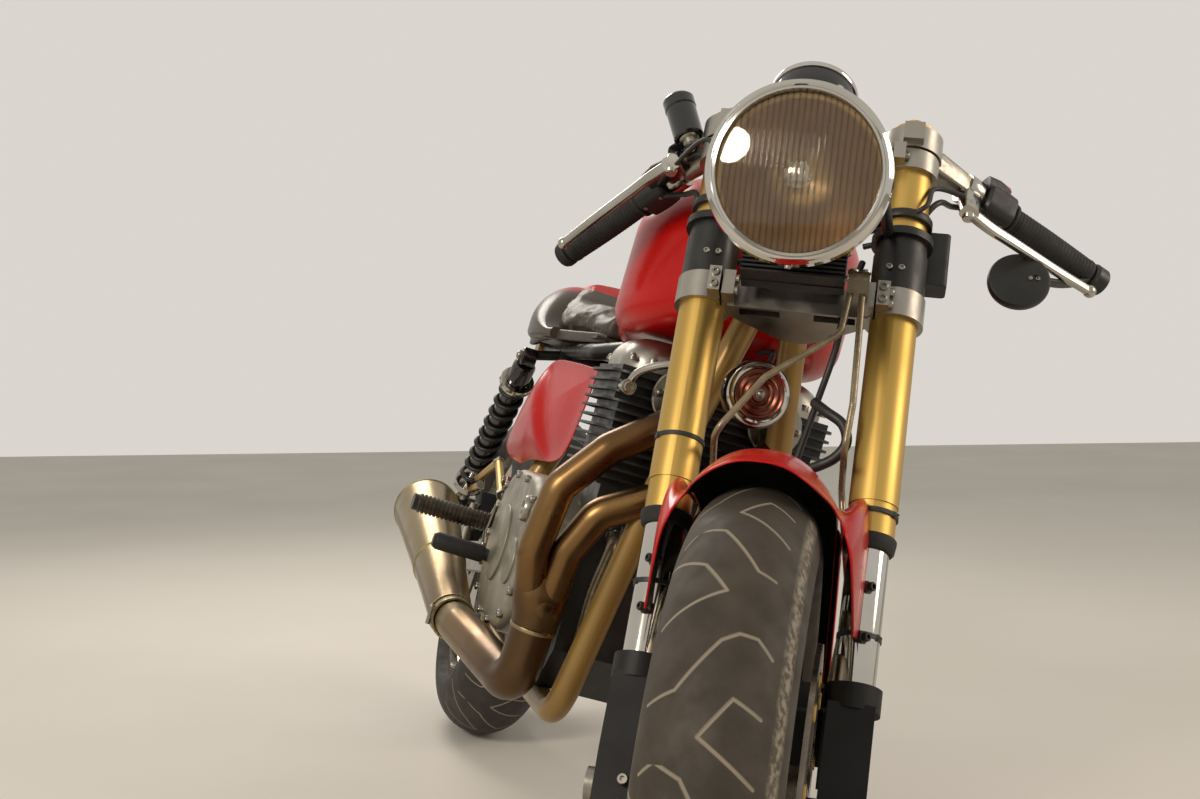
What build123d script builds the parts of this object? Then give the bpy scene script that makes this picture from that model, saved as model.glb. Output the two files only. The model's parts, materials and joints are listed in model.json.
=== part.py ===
from build123d import *
import math
import os

# Cafe racer motorcycle with an air-cooled parallel twin, leaning on its side stand.
# Pieces are drawn upright and straight ahead: X forward, Y to the rider's left, Z up,
# with the origin on the ground under the front axle. The stance at the end turns the
# steering, leans the machine and puts it on the floor. Lengths are millimetres.

# Stance
WHEELBASE = 1480.0
RAKE = 22.5
FORK_OFFSET = 30.0
LEAN = 16.5
STEER_RIGHT = 25.0
STEERING_LOCK = 27.0

# Front wheel
FRONT_R = 300.0
FRONT_TYRE_W = 120.0
FRONT_BEAD_R = 216.0
FRONT_RIM_HALF = 48.5
FRONT_HUB_HALF = 60.0
FRONT_DISC_R = 160.0
FRONT_DISC_Y = 68.0

# Rear wheel
REAR_R = 315.0
REAR_TYRE_W = 160.0
REAR_BEAD_R = 216.0
REAR_RIM_HALF = 62.0
REAR_HUB_HALF = 75.0
REAR_DISC_R = 127.5
REAR_DISC_Y = -88.0

# What both wheels share
TYRE_WALL = 8.0
RIM_FLANGE_H = 11.0
RIM_WALL = 4.0
SPOKE_R = 2.0
SPOKES = 36
DISC_T = 5.0
DISC_BAND = 34.0
AXLE_R = 12.5
RUN_FIT = 0.05
HUB_GAP = 1.0

# Fork, measured up the fork from the axle
FORK_HALF = 102.0
INNER_TUBE_R = 20.5
OUTER_TUBE_R = 25.0
TUBE_END_L = 40.0
FOOT_TOP = 127.0
WIPER_S = 272.0
LOWER_CLAMP_S = 518.0
LOWER_CLAMP_T = 32.0
SLEEVE_S = 551.0
BRACKET_S = 616.0
TOP_CLAMP_S = 702.0
TOP_CLAMP_T = 24.0
TUBE_TOP_S = 765.0
INNER_INSERT = 150.0
STEM_R = 15.0
CLAMP_WALL = 6.0
EAR_SLIT = 2.0

# Headlight
LAMP_S = 546.0
LAMP_F = 232.0
LAMP_R = 88.5
LAMP_DEPTH = 140.0
LAMP_WALL = 3.0

# Handlebars
BAR_R = 11.1
BAR_S = 742.0
BAR_L = 270.0
GRIP_R = 17.0
GRIP_L = 128.0
CLIP_HALF = 14.0
BOSS_L = 50.0
# Columns by side: degrees swept back, degrees dropped
BAR_SET = {1: (36.3, 9.2), -1: (39.8, 14.8)}
LEVER_DROP = {1: 0.9, -1: 0.1}

# Engine
ENGINE_X = -480.0
CYL_PITCH = 110.0
FIN_T = 3.0
FIN_GAP = 8.5
BARREL_FINS = 9
BARREL_LOW = 545.0
BARREL_HALF_W = 147.0
BARREL_HALF_L = 78.0
HEAD_H = 42.0
COVER_H = 42.0
CASE_HALF_W = 120.0
CASE_FRONT = -415.0
CASE_REAR = -850.0
CASE_LOW = 285.0
CRANK_X = -545.0
CRANK_Z = 405.0
SIDE_COVER_Y = 180.0

# Exhaust
HEADER_R = 19.0
LINK_R = 26.0
MUFFLER_R = 53.0
PORT_Z = 668.0
PORT_Y = 62.0
PORT_R = 27.0

# Frame
PIVOT_X = -947.0
PIVOT_Z = 385.0
PIVOT_HALF = 120.0
PIVOT_BOLT_R = 10.0
PIVOT_PLATE_Y = 140.0
PIVOT_PLATE_T = 8.0
MAIN_TUBE_R = 19.0
CRADLE_TUBE_R = 16.0
RAIL_TUBE_R = 12.5
HEADSTOCK_R = 27.0
CRADLE_HALF = 105.0

# Drive
CHAIN_PITCH = 15.875
CHAIN_H = 15.0
CHAIN_W = 16.0
CHAIN_PLATE_T = 3.0
CHAIN_Y = 98.0
FRONT_TEETH = 18
REAR_TEETH = 43
ROLLER_R = 5.1
SPROCKET_X = -815.0
SPROCKET_Z = 395.0

# Swingarm, with its ends and lugs set out from the rear axle
ARM_IN = 109.0
ARM_T = 26.0
ARM_ABOVE_AXLE = 25.0
ARM_BELOW_AXLE = 23.0
ARM_PAST_AXLE = 40.0
ARM_TAPER_L = 100.0

# Shocks, their lower eyes set out from the rear axle
SHOCK_Y = 148.0
SHOCK_TOP = (-1075.0, 697.0)
SHOCK_AHEAD = 90.0
SHOCK_ABOVE = 110.0
SHOCK_SPRING_R = 27.0
SHOCK_PIN_R = 8.0

# Threaded holes for paddock stand spools, in the swingarm's ends
SPOOL_AHEAD = 45.0
SPOOL_ABOVE = 3.0
SPOOL_R = 4.0
SPOOL_DEPTH = 16.0

# Side stand
STAND_PIVOT = (-640.0, 128.0, 236.0)
STAND_LEG_R = 10.0
STAND_SPLAY = 92.0
STAND_FORWARD = 55.0
STAND_FOLD = 98.0
FOOT_T = 7.0

# Directions and places worked out from the sizes above
rake = math.radians(RAKE)
fork_up = Vector(-math.sin(rake), 0, math.cos(rake))
fork_fwd = Vector(math.cos(rake), 0, math.sin(rake))
front_axle = Vector(0, 0, FRONT_R)
rear_axle = Vector(-WHEELBASE, 0, REAR_R)
shock_low = (rear_axle.X + SHOCK_AHEAD, rear_axle.Z + SHOCK_ABOVE)
spool_at = (rear_axle.X + SPOOL_AHEAD, rear_axle.Z + SPOOL_ABOVE)
arm_out = ARM_IN + ARM_T
fork = Plane(origin=front_axle, x_dir=fork_fwd, z_dir=fork_up)
BOTH = (1, -1)


def on_fork(shape):
    """Carry a shape from the fork's own frame (forward, left, up the fork) to the machine's."""
    return fork.location * shape


def rod(start, end, radius):
    """A round bar from one point to another."""
    start, end = Vector(*start), Vector(*end)
    return Solid.make_cylinder(radius, (end - start).length, Plane(origin=start, z_dir=end - start))


def tube(points, radius, bend):
    """A bent bar along straight runs joined by tangent arcs."""
    path = FilletPolyline(*points, radius=bend)
    return sweep(Plane(origin=path @ 0, z_dir=path % 0) * Circle(radius), path=path)


def spin(profile, centre):
    """Turn a closed outline of (across, radius) points about an axle through the centre."""
    face = Plane.YZ * make_face(Polyline(*profile, close=True))
    return Pos(*centre) * revolve(face, Axis.Y)


def block(x, y, z, low=(0, 0, 0), round_by=0.0):
    """A box from its low corner, with its edges rounded where asked."""
    box = Pos(low[0] + x / 2, low[1] + y / 2, low[2] + z / 2) * Box(x, y, z)
    return fillet(box.edges(), round_by) if round_by else box


def turn_about(origin, direction, degrees):
    """The turn about an axis through a point."""
    origin = Vector(*origin)
    return Location(origin, Vector(*direction), degrees) * Location(-origin)


def placed(location, point):
    """Where a point goes under a location."""
    return (location * Pos(*point)).position


def seated(piece, *carriers):
    """A piece cut back to the surfaces of what carries it."""
    for carrier in carriers:
        piece = piece - carrier
    return piece


def taper(start, end, start_r, end_r):
    """A round bar from one point to another whose radius changes on the way."""
    start, end = Vector(*start), Vector(*end)
    return Solid.make_cone(start_r, end_r, (end - start).length, Plane(origin=start, z_dir=end - start))


def mirrored(build):
    """The left piece and its twin on the right, from one function of the side."""
    return Compound([part for side in BOTH for part in build(side).solids()])


# Wheels

def tyre(radius, width, bead_r, rim_half):
    """A round-shouldered tubeless tyre with open inside, on its rim's seats."""
    ring_r = radius - width / 2
    bead = rim_half - RIM_WALL

    def outline(section_r, foot_half):
        """Crown arc, two sidewalls and the line between the beads."""
        right, left = (section_r, ring_r), (-section_r, ring_r)
        knee = bead_r + RIM_FLANGE_H + 1
        walls = Polyline(left, (-foot_half, knee), (-foot_half, bead_r), (foot_half, bead_r), (foot_half, knee), right)
        return make_face([ThreePointArc(right, (0, ring_r + section_r), left), walls])

    face = outline(width / 2, bead) - outline(width / 2 - TYRE_WALL, bead - TYRE_WALL)
    return revolve(Plane.YZ * face, Axis.Y)


def rim(bead_r, half):
    """A wire wheel's rim: two flanges, two bead seats and a well."""
    flange = bead_r + RIM_FLANGE_H
    well_half = half * 0.4
    well = bead_r - 13
    outer = [(half, flange), (half - RIM_WALL, flange), (half - RIM_WALL, bead_r),
             (half - 18, bead_r), (well_half, well)]
    inner = [(well_half + 2, well - RIM_WALL), (half - 16, bead_r - RIM_WALL), (half, bead_r - RIM_WALL)]
    right = outer + [(-y, r) for y, r in reversed(outer)]
    left = [(-y, r) for y, r in reversed(inner)] + inner
    return spin(right + left, (0, 0, 0))


def hub(half, flange_y, flange_r, barrel_r):
    """A hub with two spoke flanges, turning on its axle with a running fit."""
    bore = AXLE_R + RUN_FIT
    profile = [(half, bore), (half, 24), (flange_y + 6, 28), (flange_y + 6, flange_r),
               (flange_y, flange_r), (flange_y - 6, barrel_r)]
    return spin(profile + [(-y, r) for y, r in reversed(profile)], (0, 0, 0))


def spokes(hub_body, rim_body, flange_y, flange_r, rim_r, rim_y):
    """Laced spokes from the hub's flanges to the rim, cut to both."""
    bars = []
    step = 360 / SPOKES
    for i in range(SPOKES):
        side = 1 if i % 2 else -1
        lace = 1 if (i // 2) % 2 else -1
        at_rim = math.radians(i * step)
        at_hub = at_rim + lace * math.radians(52)
        foot = (flange_r * math.cos(at_hub), side * (flange_y + 3), flange_r * math.sin(at_hub))
        head = (rim_r * math.cos(at_rim), side * rim_y, rim_r * math.sin(at_rim))
        bars.append(rod(foot, head, SPOKE_R))
    return rim_body + [seated(bar, hub_body, rim_body) for bar in bars]


def disc(radius, y, carrier_in):
    """A brake disc: a ring held by a carrier with five windows."""
    ring = spin([(y - DISC_T / 2, radius), (y + DISC_T / 2, radius),
                 (y + DISC_T / 2, carrier_in), (y - DISC_T / 2, carrier_in)], (0, 0, 0))
    band_in = radius - DISC_BAND
    window_r = (band_in - carrier_in) * 0.36
    middle = (band_in + carrier_in) / 2 + 2
    for i in range(5):
        angle = math.radians(72 * i)
        cutter = rod((middle * math.cos(angle), y - DISC_T, middle * math.sin(angle)),
                     (middle * math.cos(angle), y + DISC_T, middle * math.sin(angle)), window_r)
        ring = ring - cutter
    return ring


front_tyre = tyre(FRONT_R, FRONT_TYRE_W, FRONT_BEAD_R, FRONT_RIM_HALF)
front_hub = hub(FRONT_HUB_HALF, 34.0, 40.0, 26.0)
front_rim = spokes(front_hub, rim(FRONT_BEAD_R, FRONT_RIM_HALF), 34.0, 36.0, FRONT_BEAD_R - 14, 5.0)
front_discs = seated(disc(FRONT_DISC_R, FRONT_DISC_Y, 22), front_hub) + seated(
    disc(FRONT_DISC_R, -FRONT_DISC_Y, 22), front_hub)
disc_bells = [rod((0, side * (FRONT_HUB_HALF - 12), 0), (0, side * FRONT_DISC_Y, 0), 46) for side in BOTH]
front_discs = front_discs + [seated(bell, front_hub, rod((0, -90, 0), (0, 90, 0), 22)) for bell in disc_bells]

rear_tyre = tyre(REAR_R, REAR_TYRE_W, REAR_BEAD_R, REAR_RIM_HALF)
rear_hub = hub(REAR_HUB_HALF, 42.0, 62.0, 45.0)
rear_rim = spokes(rear_hub, rim(REAR_BEAD_R, REAR_RIM_HALF), 42.0, 57.0, REAR_BEAD_R - 14, 8.0)
rear_disc = disc(REAR_DISC_R, REAR_DISC_Y, 24)
rear_bell = rod((0, -REAR_HUB_HALF + 14, 0), (0, REAR_DISC_Y, 0), 50)
rear_disc = rear_disc + seated(rear_bell, rear_hub, rod((0, -120, 0), (0, 0, 0), 24))


def sprocket_pitch_r(teeth):
    """Radius of the circle on which the chain's pins run."""
    return CHAIN_PITCH / (2 * math.sin(math.pi / teeth))


def sprocket(teeth, thickness, y, bore):
    """A toothed plate whose tips end just inside the chain's rollers."""
    tip = sprocket_pitch_r(teeth) - ROLLER_R - 1.0
    root = tip - 7.0
    points = []
    for i in range(teeth):
        for angle, radius in ((-0.5, root), (-0.22, root), (-0.08, tip), (0.08, tip), (0.22, root)):
            turn = math.tau * (i + angle) / teeth
            points.append((radius * math.cos(turn), radius * math.sin(turn)))
    face = make_face(Polyline(*points, close=True)) - Circle(bore)
    for i in range(6):
        angle = math.radians(60 * i)
        middle = (root + bore) / 2
        face = face - Pos(middle * math.cos(angle), middle * math.sin(angle)) * Circle((root - bore) * 0.3)
    return extrude(Plane.XZ.offset(-y - thickness / 2) * face, thickness)


rear_sprocket = sprocket(REAR_TEETH, 7.0, CHAIN_Y, 30.0)
sprocket_seat = rod((0, REAR_HUB_HALF - 14, 0), (0, CHAIN_Y + 3.5, 0), 48)
rear_sprocket = rear_sprocket + seated(sprocket_seat, rear_hub, rod((0, 0, 0), (0, 120, 0), 30))

# Front axle, with its head and nut outside the fork feet
foot_out = FORK_HALF + 24
front_shaft = spin([(foot_out + 6, 0), (foot_out + 6, 15), (foot_out, 15), (foot_out, AXLE_R),
                    (-foot_out, AXLE_R), (-foot_out, 17), (-foot_out - 8, 17), (-foot_out - 8, 0)],
                   (0, 0, 0))
spacer_out = FORK_HALF - 22
front_spacers = [spin([(side * (FRONT_HUB_HALF + HUB_GAP), AXLE_R), (side * (FRONT_HUB_HALF + HUB_GAP), 20),
                       (side * spacer_out, 20), (side * spacer_out, AXLE_R)], (0, 0, 0)) for side in BOTH]
front_shaft = front_shaft + front_spacers
front_shaft = fork.location * front_shaft

# Fork


def fork_foot(side):
    """A cast foot: axle clamp, tube socket and the lug that takes the caliper."""
    y = side * FORK_HALF
    outline = [(-25, FOOT_TOP - 20), (25, FOOT_TOP - 20), (30, 30), (27, -20), (15, -42), (-15, -42),
               (-27, -20), (-34, 20), (-56, 34), (-56, 84), (-30, 92)]
    body = Plane.XZ.offset(-y - 22) * make_face(Polyline(*outline, close=True))
    foot = extrude(body, 44)
    foot = foot + rod((0, y, FOOT_TOP - 24), (0, y, FOOT_TOP), INNER_TUBE_R + 7)
    foot = foot - rod((0, y, 40), (0, y, FOOT_TOP + 1), INNER_TUBE_R)
    foot = foot - rod((0, y - 30, 0), (0, y + 30, 0), AXLE_R)
    foot = foot - block(60, 3, 24, (-30, y - 1.5, -44))
    return foot


def fork_inner(side):
    """The chrome lower tube, from its socket in the foot up into the outer tube."""
    y = side * FORK_HALF
    return rod((0, y, 40), (0, y, WIPER_S + INNER_INSERT), INNER_TUBE_R)


def fork_outer(side):
    """The gold upper tube, necked at the bottom for its seals, with its cap on top."""
    y = side * FORK_HALF
    leg = rod((0, y, WIPER_S + TUBE_END_L), (0, y, TUBE_TOP_S), OUTER_TUBE_R)
    leg = leg + rod((0, y, TUBE_TOP_S), (0, y, TUBE_TOP_S + 12), 13)
    leg = leg + rod((0, y, WIPER_S), (0, y, WIPER_S + TUBE_END_L), OUTER_TUBE_R - 1.2)
    return leg - rod((0, y, WIPER_S - 1), (0, y, WIPER_S + INNER_INSERT + 10), INNER_TUBE_R + RUN_FIT)


fork_feet = mirrored(lambda side: on_fork(fork_foot(side)))
fork_inner_tubes = mirrored(lambda side: on_fork(fork_inner(side)))
fork_outer_tubes = mirrored(lambda side: on_fork(fork_outer(side)))


def clamp_plate(low, thick, web_half, stem_r):
    """A fork clamp: two rings, each split between two pinch ears, joined by a web round the stem."""
    ring_r = OUTER_TUBE_R + CLAMP_WALL
    web = [(-FORK_OFFSET - web_half, -web_half), (14, -FORK_HALF), (14, FORK_HALF),
           (-FORK_OFFSET - web_half, web_half)]
    slit_y = FORK_HALF - 21
    plate = extrude(Pos(0, 0, low) * make_face(Polyline(*web, close=True)), thick)
    plate = plate + rod((-FORK_OFFSET, 0, low), (-FORK_OFFSET, 0, low + thick), stem_r + 14)
    for side in BOTH:
        plate = plate + rod((0, side * FORK_HALF, low), (0, side * FORK_HALF, low + thick), ring_r)
        plate = plate + block(30, 14, thick - 3, (14, side * (slit_y + 7) - 7, low + 1.5))
        plate = plate + block(30, 14, thick - 3, (8, side * (slit_y - 7) - 7, low + 1.5))
    for side in BOTH:
        leg_y = side * FORK_HALF
        plate = plate - rod((0, leg_y, low - 1), (0, leg_y, low + thick + 1), OUTER_TUBE_R)
        plate = plate - block(40, EAR_SLIT, thick + 2, (9, side * slit_y - EAR_SLIT / 2, low - 1))
    return plate


stem_low, stem_high = LOWER_CLAMP_S, TOP_CLAMP_S + TOP_CLAMP_T
stem = rod((-FORK_OFFSET, 0, stem_low), (-FORK_OFFSET, 0, stem_high + 10), STEM_R)
stem_nut = rod((-FORK_OFFSET, 0, stem_high), (-FORK_OFFSET, 0, stem_high + 14), STEM_R + 6)
clamp_pockets = [block(14, 44, 20, (-4, side * 40 - 22, LOWER_CLAMP_S - 1)) for side in BOTH]
lower_clamp = seated(clamp_plate(LOWER_CLAMP_S, LOWER_CLAMP_T, 22, STEM_R), *clamp_pockets)
lower_clamp = on_fork(lower_clamp + stem)
top_clamp = on_fork(clamp_plate(TOP_CLAMP_S, TOP_CLAMP_T, 18, STEM_R) + stem_nut - stem)

# Headlight, its axis level when the machine is upright
lamp_at = front_axle + fork_up * LAMP_S + fork_fwd * LAMP_F
lamp_place = Pos(*lamp_at)


def turned(profile):
    """Turn a closed outline of (forward, radius) points about the lamp's axis."""
    return lamp_place * revolve(Plane.XZ * make_face(Polyline(*profile, close=True)), Axis.X)


bowl_r = LAMP_R - 6
headlight_shell = turned([(-8, bowl_r), (-30, bowl_r), (-70, bowl_r - 9), (-105, bowl_r - 30),
                          (-LAMP_DEPTH, 22), (-LAMP_DEPTH, 0), (-LAMP_DEPTH + LAMP_WALL, 0),
                          (-105 + LAMP_WALL, bowl_r - 34), (-30, bowl_r - LAMP_WALL), (-8, bowl_r - LAMP_WALL)])
headlight_ring = turned([(-8, LAMP_R - 1), (-4, LAMP_R), (6, LAMP_R - 1), (10, LAMP_R - 5), (10, LAMP_R - 9),
                         (-8, LAMP_R - 9)])
headlight_lens = turned([(-6, LAMP_R - 9), (6, LAMP_R - 9), (12, LAMP_R * 0.6), (16, LAMP_R * 0.3), (17, 0),
                         (13, 0), (12, LAMP_R * 0.3), (8, LAMP_R * 0.58), (-2, LAMP_R - 14), (-6, LAMP_R - 14)])


def lamp_bracket(side):
    """A sleeve and a clamp plate on the fork tube, with an arm out to the lamp's side."""
    y = side * FORK_HALF
    grip_ring = rod((0, y, SLEEVE_S), (0, y, SLEEVE_S + 50), OUTER_TUBE_R + 4)
    grip_ring = grip_ring + rod((0, y, SLEEVE_S + 50), (0, y, BRACKET_S), OUTER_TUBE_R + 2.5)
    grip_ring = grip_ring + rod((0, y, BRACKET_S), (0, y, BRACKET_S + 9), OUTER_TUBE_R + 8)
    grip_ring = grip_ring - rod((0, y, SLEEVE_S - 1), (0, y, BRACKET_S + 10), OUTER_TUBE_R)
    root = placed(fork.location, (OUTER_TUBE_R - 2, side * (FORK_HALF - 16), BRACKET_S + 4))
    tip = lamp_at + Vector(-62, side * (bowl_r - 5), 6)
    arm = rod(root, tip, 6) + rod(tip, tip - Vector(0, side * 5, 0), 9)
    return seated(on_fork(grip_ring) + arm, fork_outer_tubes, headlight_shell)


headlight_brackets = mirrored(lamp_bracket)

# Instrument pod above and behind the lamp, tilted back to the rider
pod_at = (45, -12, 766)
pod = Pos(*pod_at) * Rot(0, -14, 0) * (Cylinder(46, 40) + Pos(0, 0, 20) * Cylinder(48, 6))
instrument_pod = on_fork(pod)
pod_arm = on_fork(rod((6, -12, TOP_CLAMP_S + TOP_CLAMP_T), (30, -12, 752), 8))
instrument_pod = seated(instrument_pod + pod_arm, top_clamp, headlight_shell)

# Handlebars


def bar_point(side, along):
    """A point on one handlebar's centre line, in the fork's frame."""
    sweep, drop = (math.radians(degrees) for degrees in BAR_SET[side])
    point = Vector(-math.sin(sweep), side * math.cos(sweep), -math.sin(drop)).normalized() * along
    return (point.X, side * FORK_HALF + point.Y, BAR_S + point.Z)


def clip_on(side):
    """A ring clamped round the fork tube with the bar welded into it."""
    y = side * FORK_HALF
    ring = rod((0, y, BAR_S - CLIP_HALF), (0, y, BAR_S + CLIP_HALF), OUTER_TUBE_R + 8)
    ring = ring + block(18, 22, 22, (OUTER_TUBE_R, y - 11, BAR_S - 11))
    boss = taper(bar_point(side, OUTER_TUBE_R), bar_point(side, OUTER_TUBE_R + BOSS_L), 18, BAR_R + 2)
    bar = rod(bar_point(side, OUTER_TUBE_R + 2), bar_point(side, BAR_L), BAR_R)
    return (ring + boss + bar) - rod((0, y, BAR_S - 30), (0, y, BAR_S + 30), OUTER_TUBE_R)


def grip(side):
    """A rubber grip with an end weight."""
    start, end = BAR_L - GRIP_L, BAR_L
    sleeve = rod(bar_point(side, start), bar_point(side, end), GRIP_R)
    sleeve = sleeve - rod(bar_point(side, start - 1), bar_point(side, end), BAR_R)
    return sleeve + rod(bar_point(side, end), bar_point(side, end + 14), GRIP_R - 3)


def switch_block(side):
    """The switch housing clamped round the bar inboard of the grip."""
    start = BAR_L - GRIP_L - 42
    body = rod(bar_point(side, start), bar_point(side, start + 40), 24)
    return body - rod(bar_point(side, start - 1), bar_point(side, start + 41), BAR_R)


def lever(side):
    """A perch clamped round the bar and a lever ahead of the grip."""
    at = BAR_L - GRIP_L - 66
    band = rod(bar_point(side, at), bar_point(side, at + 20), BAR_R + 7)
    band = band - rod(bar_point(side, at - 1), bar_point(side, at + 21), BAR_R)
    centre = Vector(*bar_point(side, at + 10))
    reach = Vector(1, 0, -LEVER_DROP[side]).normalized()
    root = centre + reach * 52
    middle = Vector(*bar_point(side, BAR_L - GRIP_L + 6)) + reach * 58
    tip = Vector(*bar_point(side, BAR_L + 2)) + reach * 44
    perch = taper(centre + reach * 14, root + reach * 8, 13, 10)
    blade = rod(root, middle, 6.5) + Pos(*middle) * Sphere(6.5) + rod(middle, tip, 5.5)
    return band + perch + blade + Pos(*tip) * Sphere(9)


handlebars = seated(mirrored(lambda side: on_fork(clip_on(side))), top_clamp)
grips = mirrored(lambda side: on_fork(grip(side)))
switchgear = mirrored(lambda side: on_fork(switch_block(side)))
levers = seated(mirrored(lambda side: on_fork(lever(side))), handlebars, switchgear)

# Brake fluid reservoir, on a stalk from the right perch
res_x, res_y, res_s = bar_point(-1, BAR_L - GRIP_L - 56)
res_low = (res_x + 40, res_y + 8, res_s + 40)
reservoir = rod(res_low, (res_low[0], res_low[1] - 6, res_low[2] + 46), 17)
reservoir = reservoir + rod((res_x + 40, res_y, res_s + 11), res_low, 4)
brake_reservoir = seated(on_fork(reservoir), levers)

# Bar-end mirror on the left
MIRROR_R = 34.0
MIRROR_DROP = 80.0
mirror_root = bar_point(1, BAR_L + 14)
mirror_above = bar_point(1, BAR_L - 104)
mirror_at = (mirror_above[0] + 16, mirror_above[1], mirror_above[2] - MIRROR_DROP)
mirror_disc = Pos(*mirror_at) * Rot(0, 90, 0) * Cylinder(MIRROR_R, 12)
mirror = mirror_disc + rod(mirror_root, mirror_at, 5)
mirror = seated(on_fork(mirror), grips, handlebars)

# Front fender over the tyre, with an arm down each side to the fork foot
FENDER_GAP = 30.0
FENDER_T = 2.5
FENDER_HALF = 70.0
FENDER_DROP = 44.0
FENDER_SKIRT = 20.0
FENDER_ARC = 104.0
FENDER_LIP = 18.0
fender_r = FRONT_R + FENDER_GAP


def fender_outline(half, top):
    """The fender's section: an arc over the tyre with a straight skirt each side."""
    knee = fender_r - FENDER_DROP
    foot = knee - FENDER_SKIRT
    return make_face([ThreePointArc((half, knee), (0, top), (-half, knee)),
                      Polyline((-half, knee), (-half, foot), (half, foot), (half, knee))])


fender_face = fender_outline(FENDER_HALF, fender_r + FENDER_T)
fender_face = fender_face - fender_outline(FENDER_HALF - FENDER_T, fender_r)
fender_shell = revolve(Plane.YZ * fender_face, Axis.Y, FENDER_ARC)
fender_shell = Pos(0, 0, FRONT_R) * Rot(0, FENDER_LIP - FENDER_ARC, 0) * fender_shell


# Columns: distance from the middle, height up the fork
ARM = ((34, 316), (57, 324), (82, 324), (97, 316), (102, 298), (108, 250), (110, 207), (110, 166), (106, 158),
       (101, 162), (95, 208), (84, 254), (74, 284), (66, 276))
ARM_STUDS = ((104, 222), (105, 172))


def fender_arm(side):
    """A flat arm that tapers down in front of the fork leg, with the stud that holds it."""
    front = Plane(origin=(OUTER_TUBE_R + 2, 0, 0), x_dir=(0, 1, 0), z_dir=(1, 0, 0))
    outline = make_face(Polyline(*[(side * y, s) for y, s in ARM], close=True))
    studs = [rod((0, side * y, s), (OUTER_TUBE_R + 2, side * y, s), 4) for y, s in ARM_STUDS]
    return on_fork(extrude(front * outline, FENDER_T) + studs)


front_fender = fender_shell + [fender_arm(side) for side in BOTH]
front_fender = seated(front_fender, fork_inner_tubes, fork_outer_tubes)

# Brake calipers, each with a slot for its disc
CALIPER_SLOT = DISC_T + 10.0
CALIPER_HALF_W = 27.0


def caliper(disc_r, y, degrees, length):
    """A caliper bridging a disc's edge, turned about the axle to its place."""
    body = block(58, 2 * CALIPER_HALF_W, length, (disc_r - 40, y - CALIPER_HALF_W, -length / 2), 6)
    slot = block(100, CALIPER_SLOT, length + 20, (disc_r - 95, y - CALIPER_SLOT / 2, -length / 2 - 10))
    return Rot(0, -degrees, 0) * (body - slot)


FRONT_CALIPER_TURN = 137.0
FRONT_CALIPER_L = 92.0
front_calipers = mirrored(
    lambda side: on_fork(caliper(FRONT_DISC_R, side * FRONT_DISC_Y, FRONT_CALIPER_TURN, FRONT_CALIPER_L)))
front_calipers = seated(front_calipers, fork_feet)

# Rectifier with cooling fins under the lamp, on the lower clamp
fins = block(14, 108, 44, (OUTER_TUBE_R + 12, -60, LOWER_CLAMP_S + 12))
for i in range(9):
    fins = fins + block(20, 108, 2.4, (OUTER_TUBE_R + 26, -60, LOWER_CLAMP_S + 13 + 5.2 * i))
for side in BOTH:
    fins = fins + rod((2, side * 40, LOWER_CLAMP_S + 30), (OUTER_TUBE_R + 12, side * 40, LOWER_CLAMP_S + 30), 6)
rectifier = seated(on_fork(fins), lower_clamp)

# Brake hoses, from the union on the lower clamp to each caliper
HOSE_R = 3.5
union_at = (46, 62, LOWER_CLAMP_S + 20)
hose_union = block(16, 22, 26, (union_at[0] - 8, union_at[1] - 11, union_at[2] - 13))
hose_left = tube([(48, 67, union_at[2]), (50, 71, 400), (44, 68, 352), (-44, 68, 342), (-48, 84, 250),
                  (-52, 84, 195), (-78, 78, 140)], HOSE_R, 16)
hose_right = tube([(48, 56, union_at[2]), (47, 50, 480), (46, -20, 422), (45, -62, 356), (-44, -68, 345),
                   (-48, -84, 250), (-52, -84, 195), (-78, -78, 140)], HOSE_R, 16)
brake_hoses = on_fork(hose_union + hose_left + hose_right)
brake_hoses = seated(brake_hoses, front_calipers, lower_clamp)

# Engine


def side_profile(y, outline, width):
    """A plate drawn in the side view, from y towards the left by the width."""
    return extrude(Plane.XZ.offset(-y - width) * make_face(Polyline(*outline, close=True)), width)


case_outline = [(CASE_FRONT, 470), (CASE_FRONT, 340), (CASE_FRONT - 50, CASE_LOW), (CASE_REAR + 130, CASE_LOW),
                (CASE_REAR, 350), (CASE_REAR, 440), (CASE_REAR + 90, 500),
                (ENGINE_X - BARREL_HALF_L - 20, BARREL_LOW), (ENGINE_X + BARREL_HALF_L - 16, BARREL_LOW)]
crankcase = side_profile(-CASE_HALF_W, case_outline, 2 * CASE_HALF_W)
crankcase = crankcase - block(160, 60, 300, (CASE_REAR - 50, CHAIN_Y - CHAIN_W / 2 - 6, 300))

barrel_top = BARREL_LOW + BARREL_FINS * (FIN_T + FIN_GAP)
barrels = block(2 * BARREL_HALF_L - 30, 2 * BARREL_HALF_W - 40, barrel_top - BARREL_LOW,
                (ENGINE_X - BARREL_HALF_L + 15, -BARREL_HALF_W + 20, BARREL_LOW))
for i in range(BARREL_FINS):
    z = BARREL_LOW + FIN_GAP + i * (FIN_T + FIN_GAP)
    fin = Pos(ENGINE_X, 0, z) * RectangleRounded(2 * BARREL_HALF_L, 2 * BARREL_HALF_W, 30)
    barrels = barrels + extrude(fin, FIN_T)

head_top = barrel_top + HEAD_H
head = block(2 * BARREL_HALF_L - 20, 2 * BARREL_HALF_W - 24, HEAD_H,
             (ENGINE_X - BARREL_HALF_L + 10, -BARREL_HALF_W + 12, barrel_top))
for i in range(3):
    z = barrel_top + 8 + i * 12
    fin = Pos(ENGINE_X, 0, z) * RectangleRounded(2 * BARREL_HALF_L + 6, 2 * BARREL_HALF_W - 4, 26)
    head = head + extrude(fin, FIN_T)

port_x = ENGINE_X + BARREL_HALF_L + 6
for side in BOTH:
    head = head + rod((port_x - 30, side * PORT_Y, PORT_Z), (port_x, side * PORT_Y, PORT_Z), PORT_R)

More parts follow.
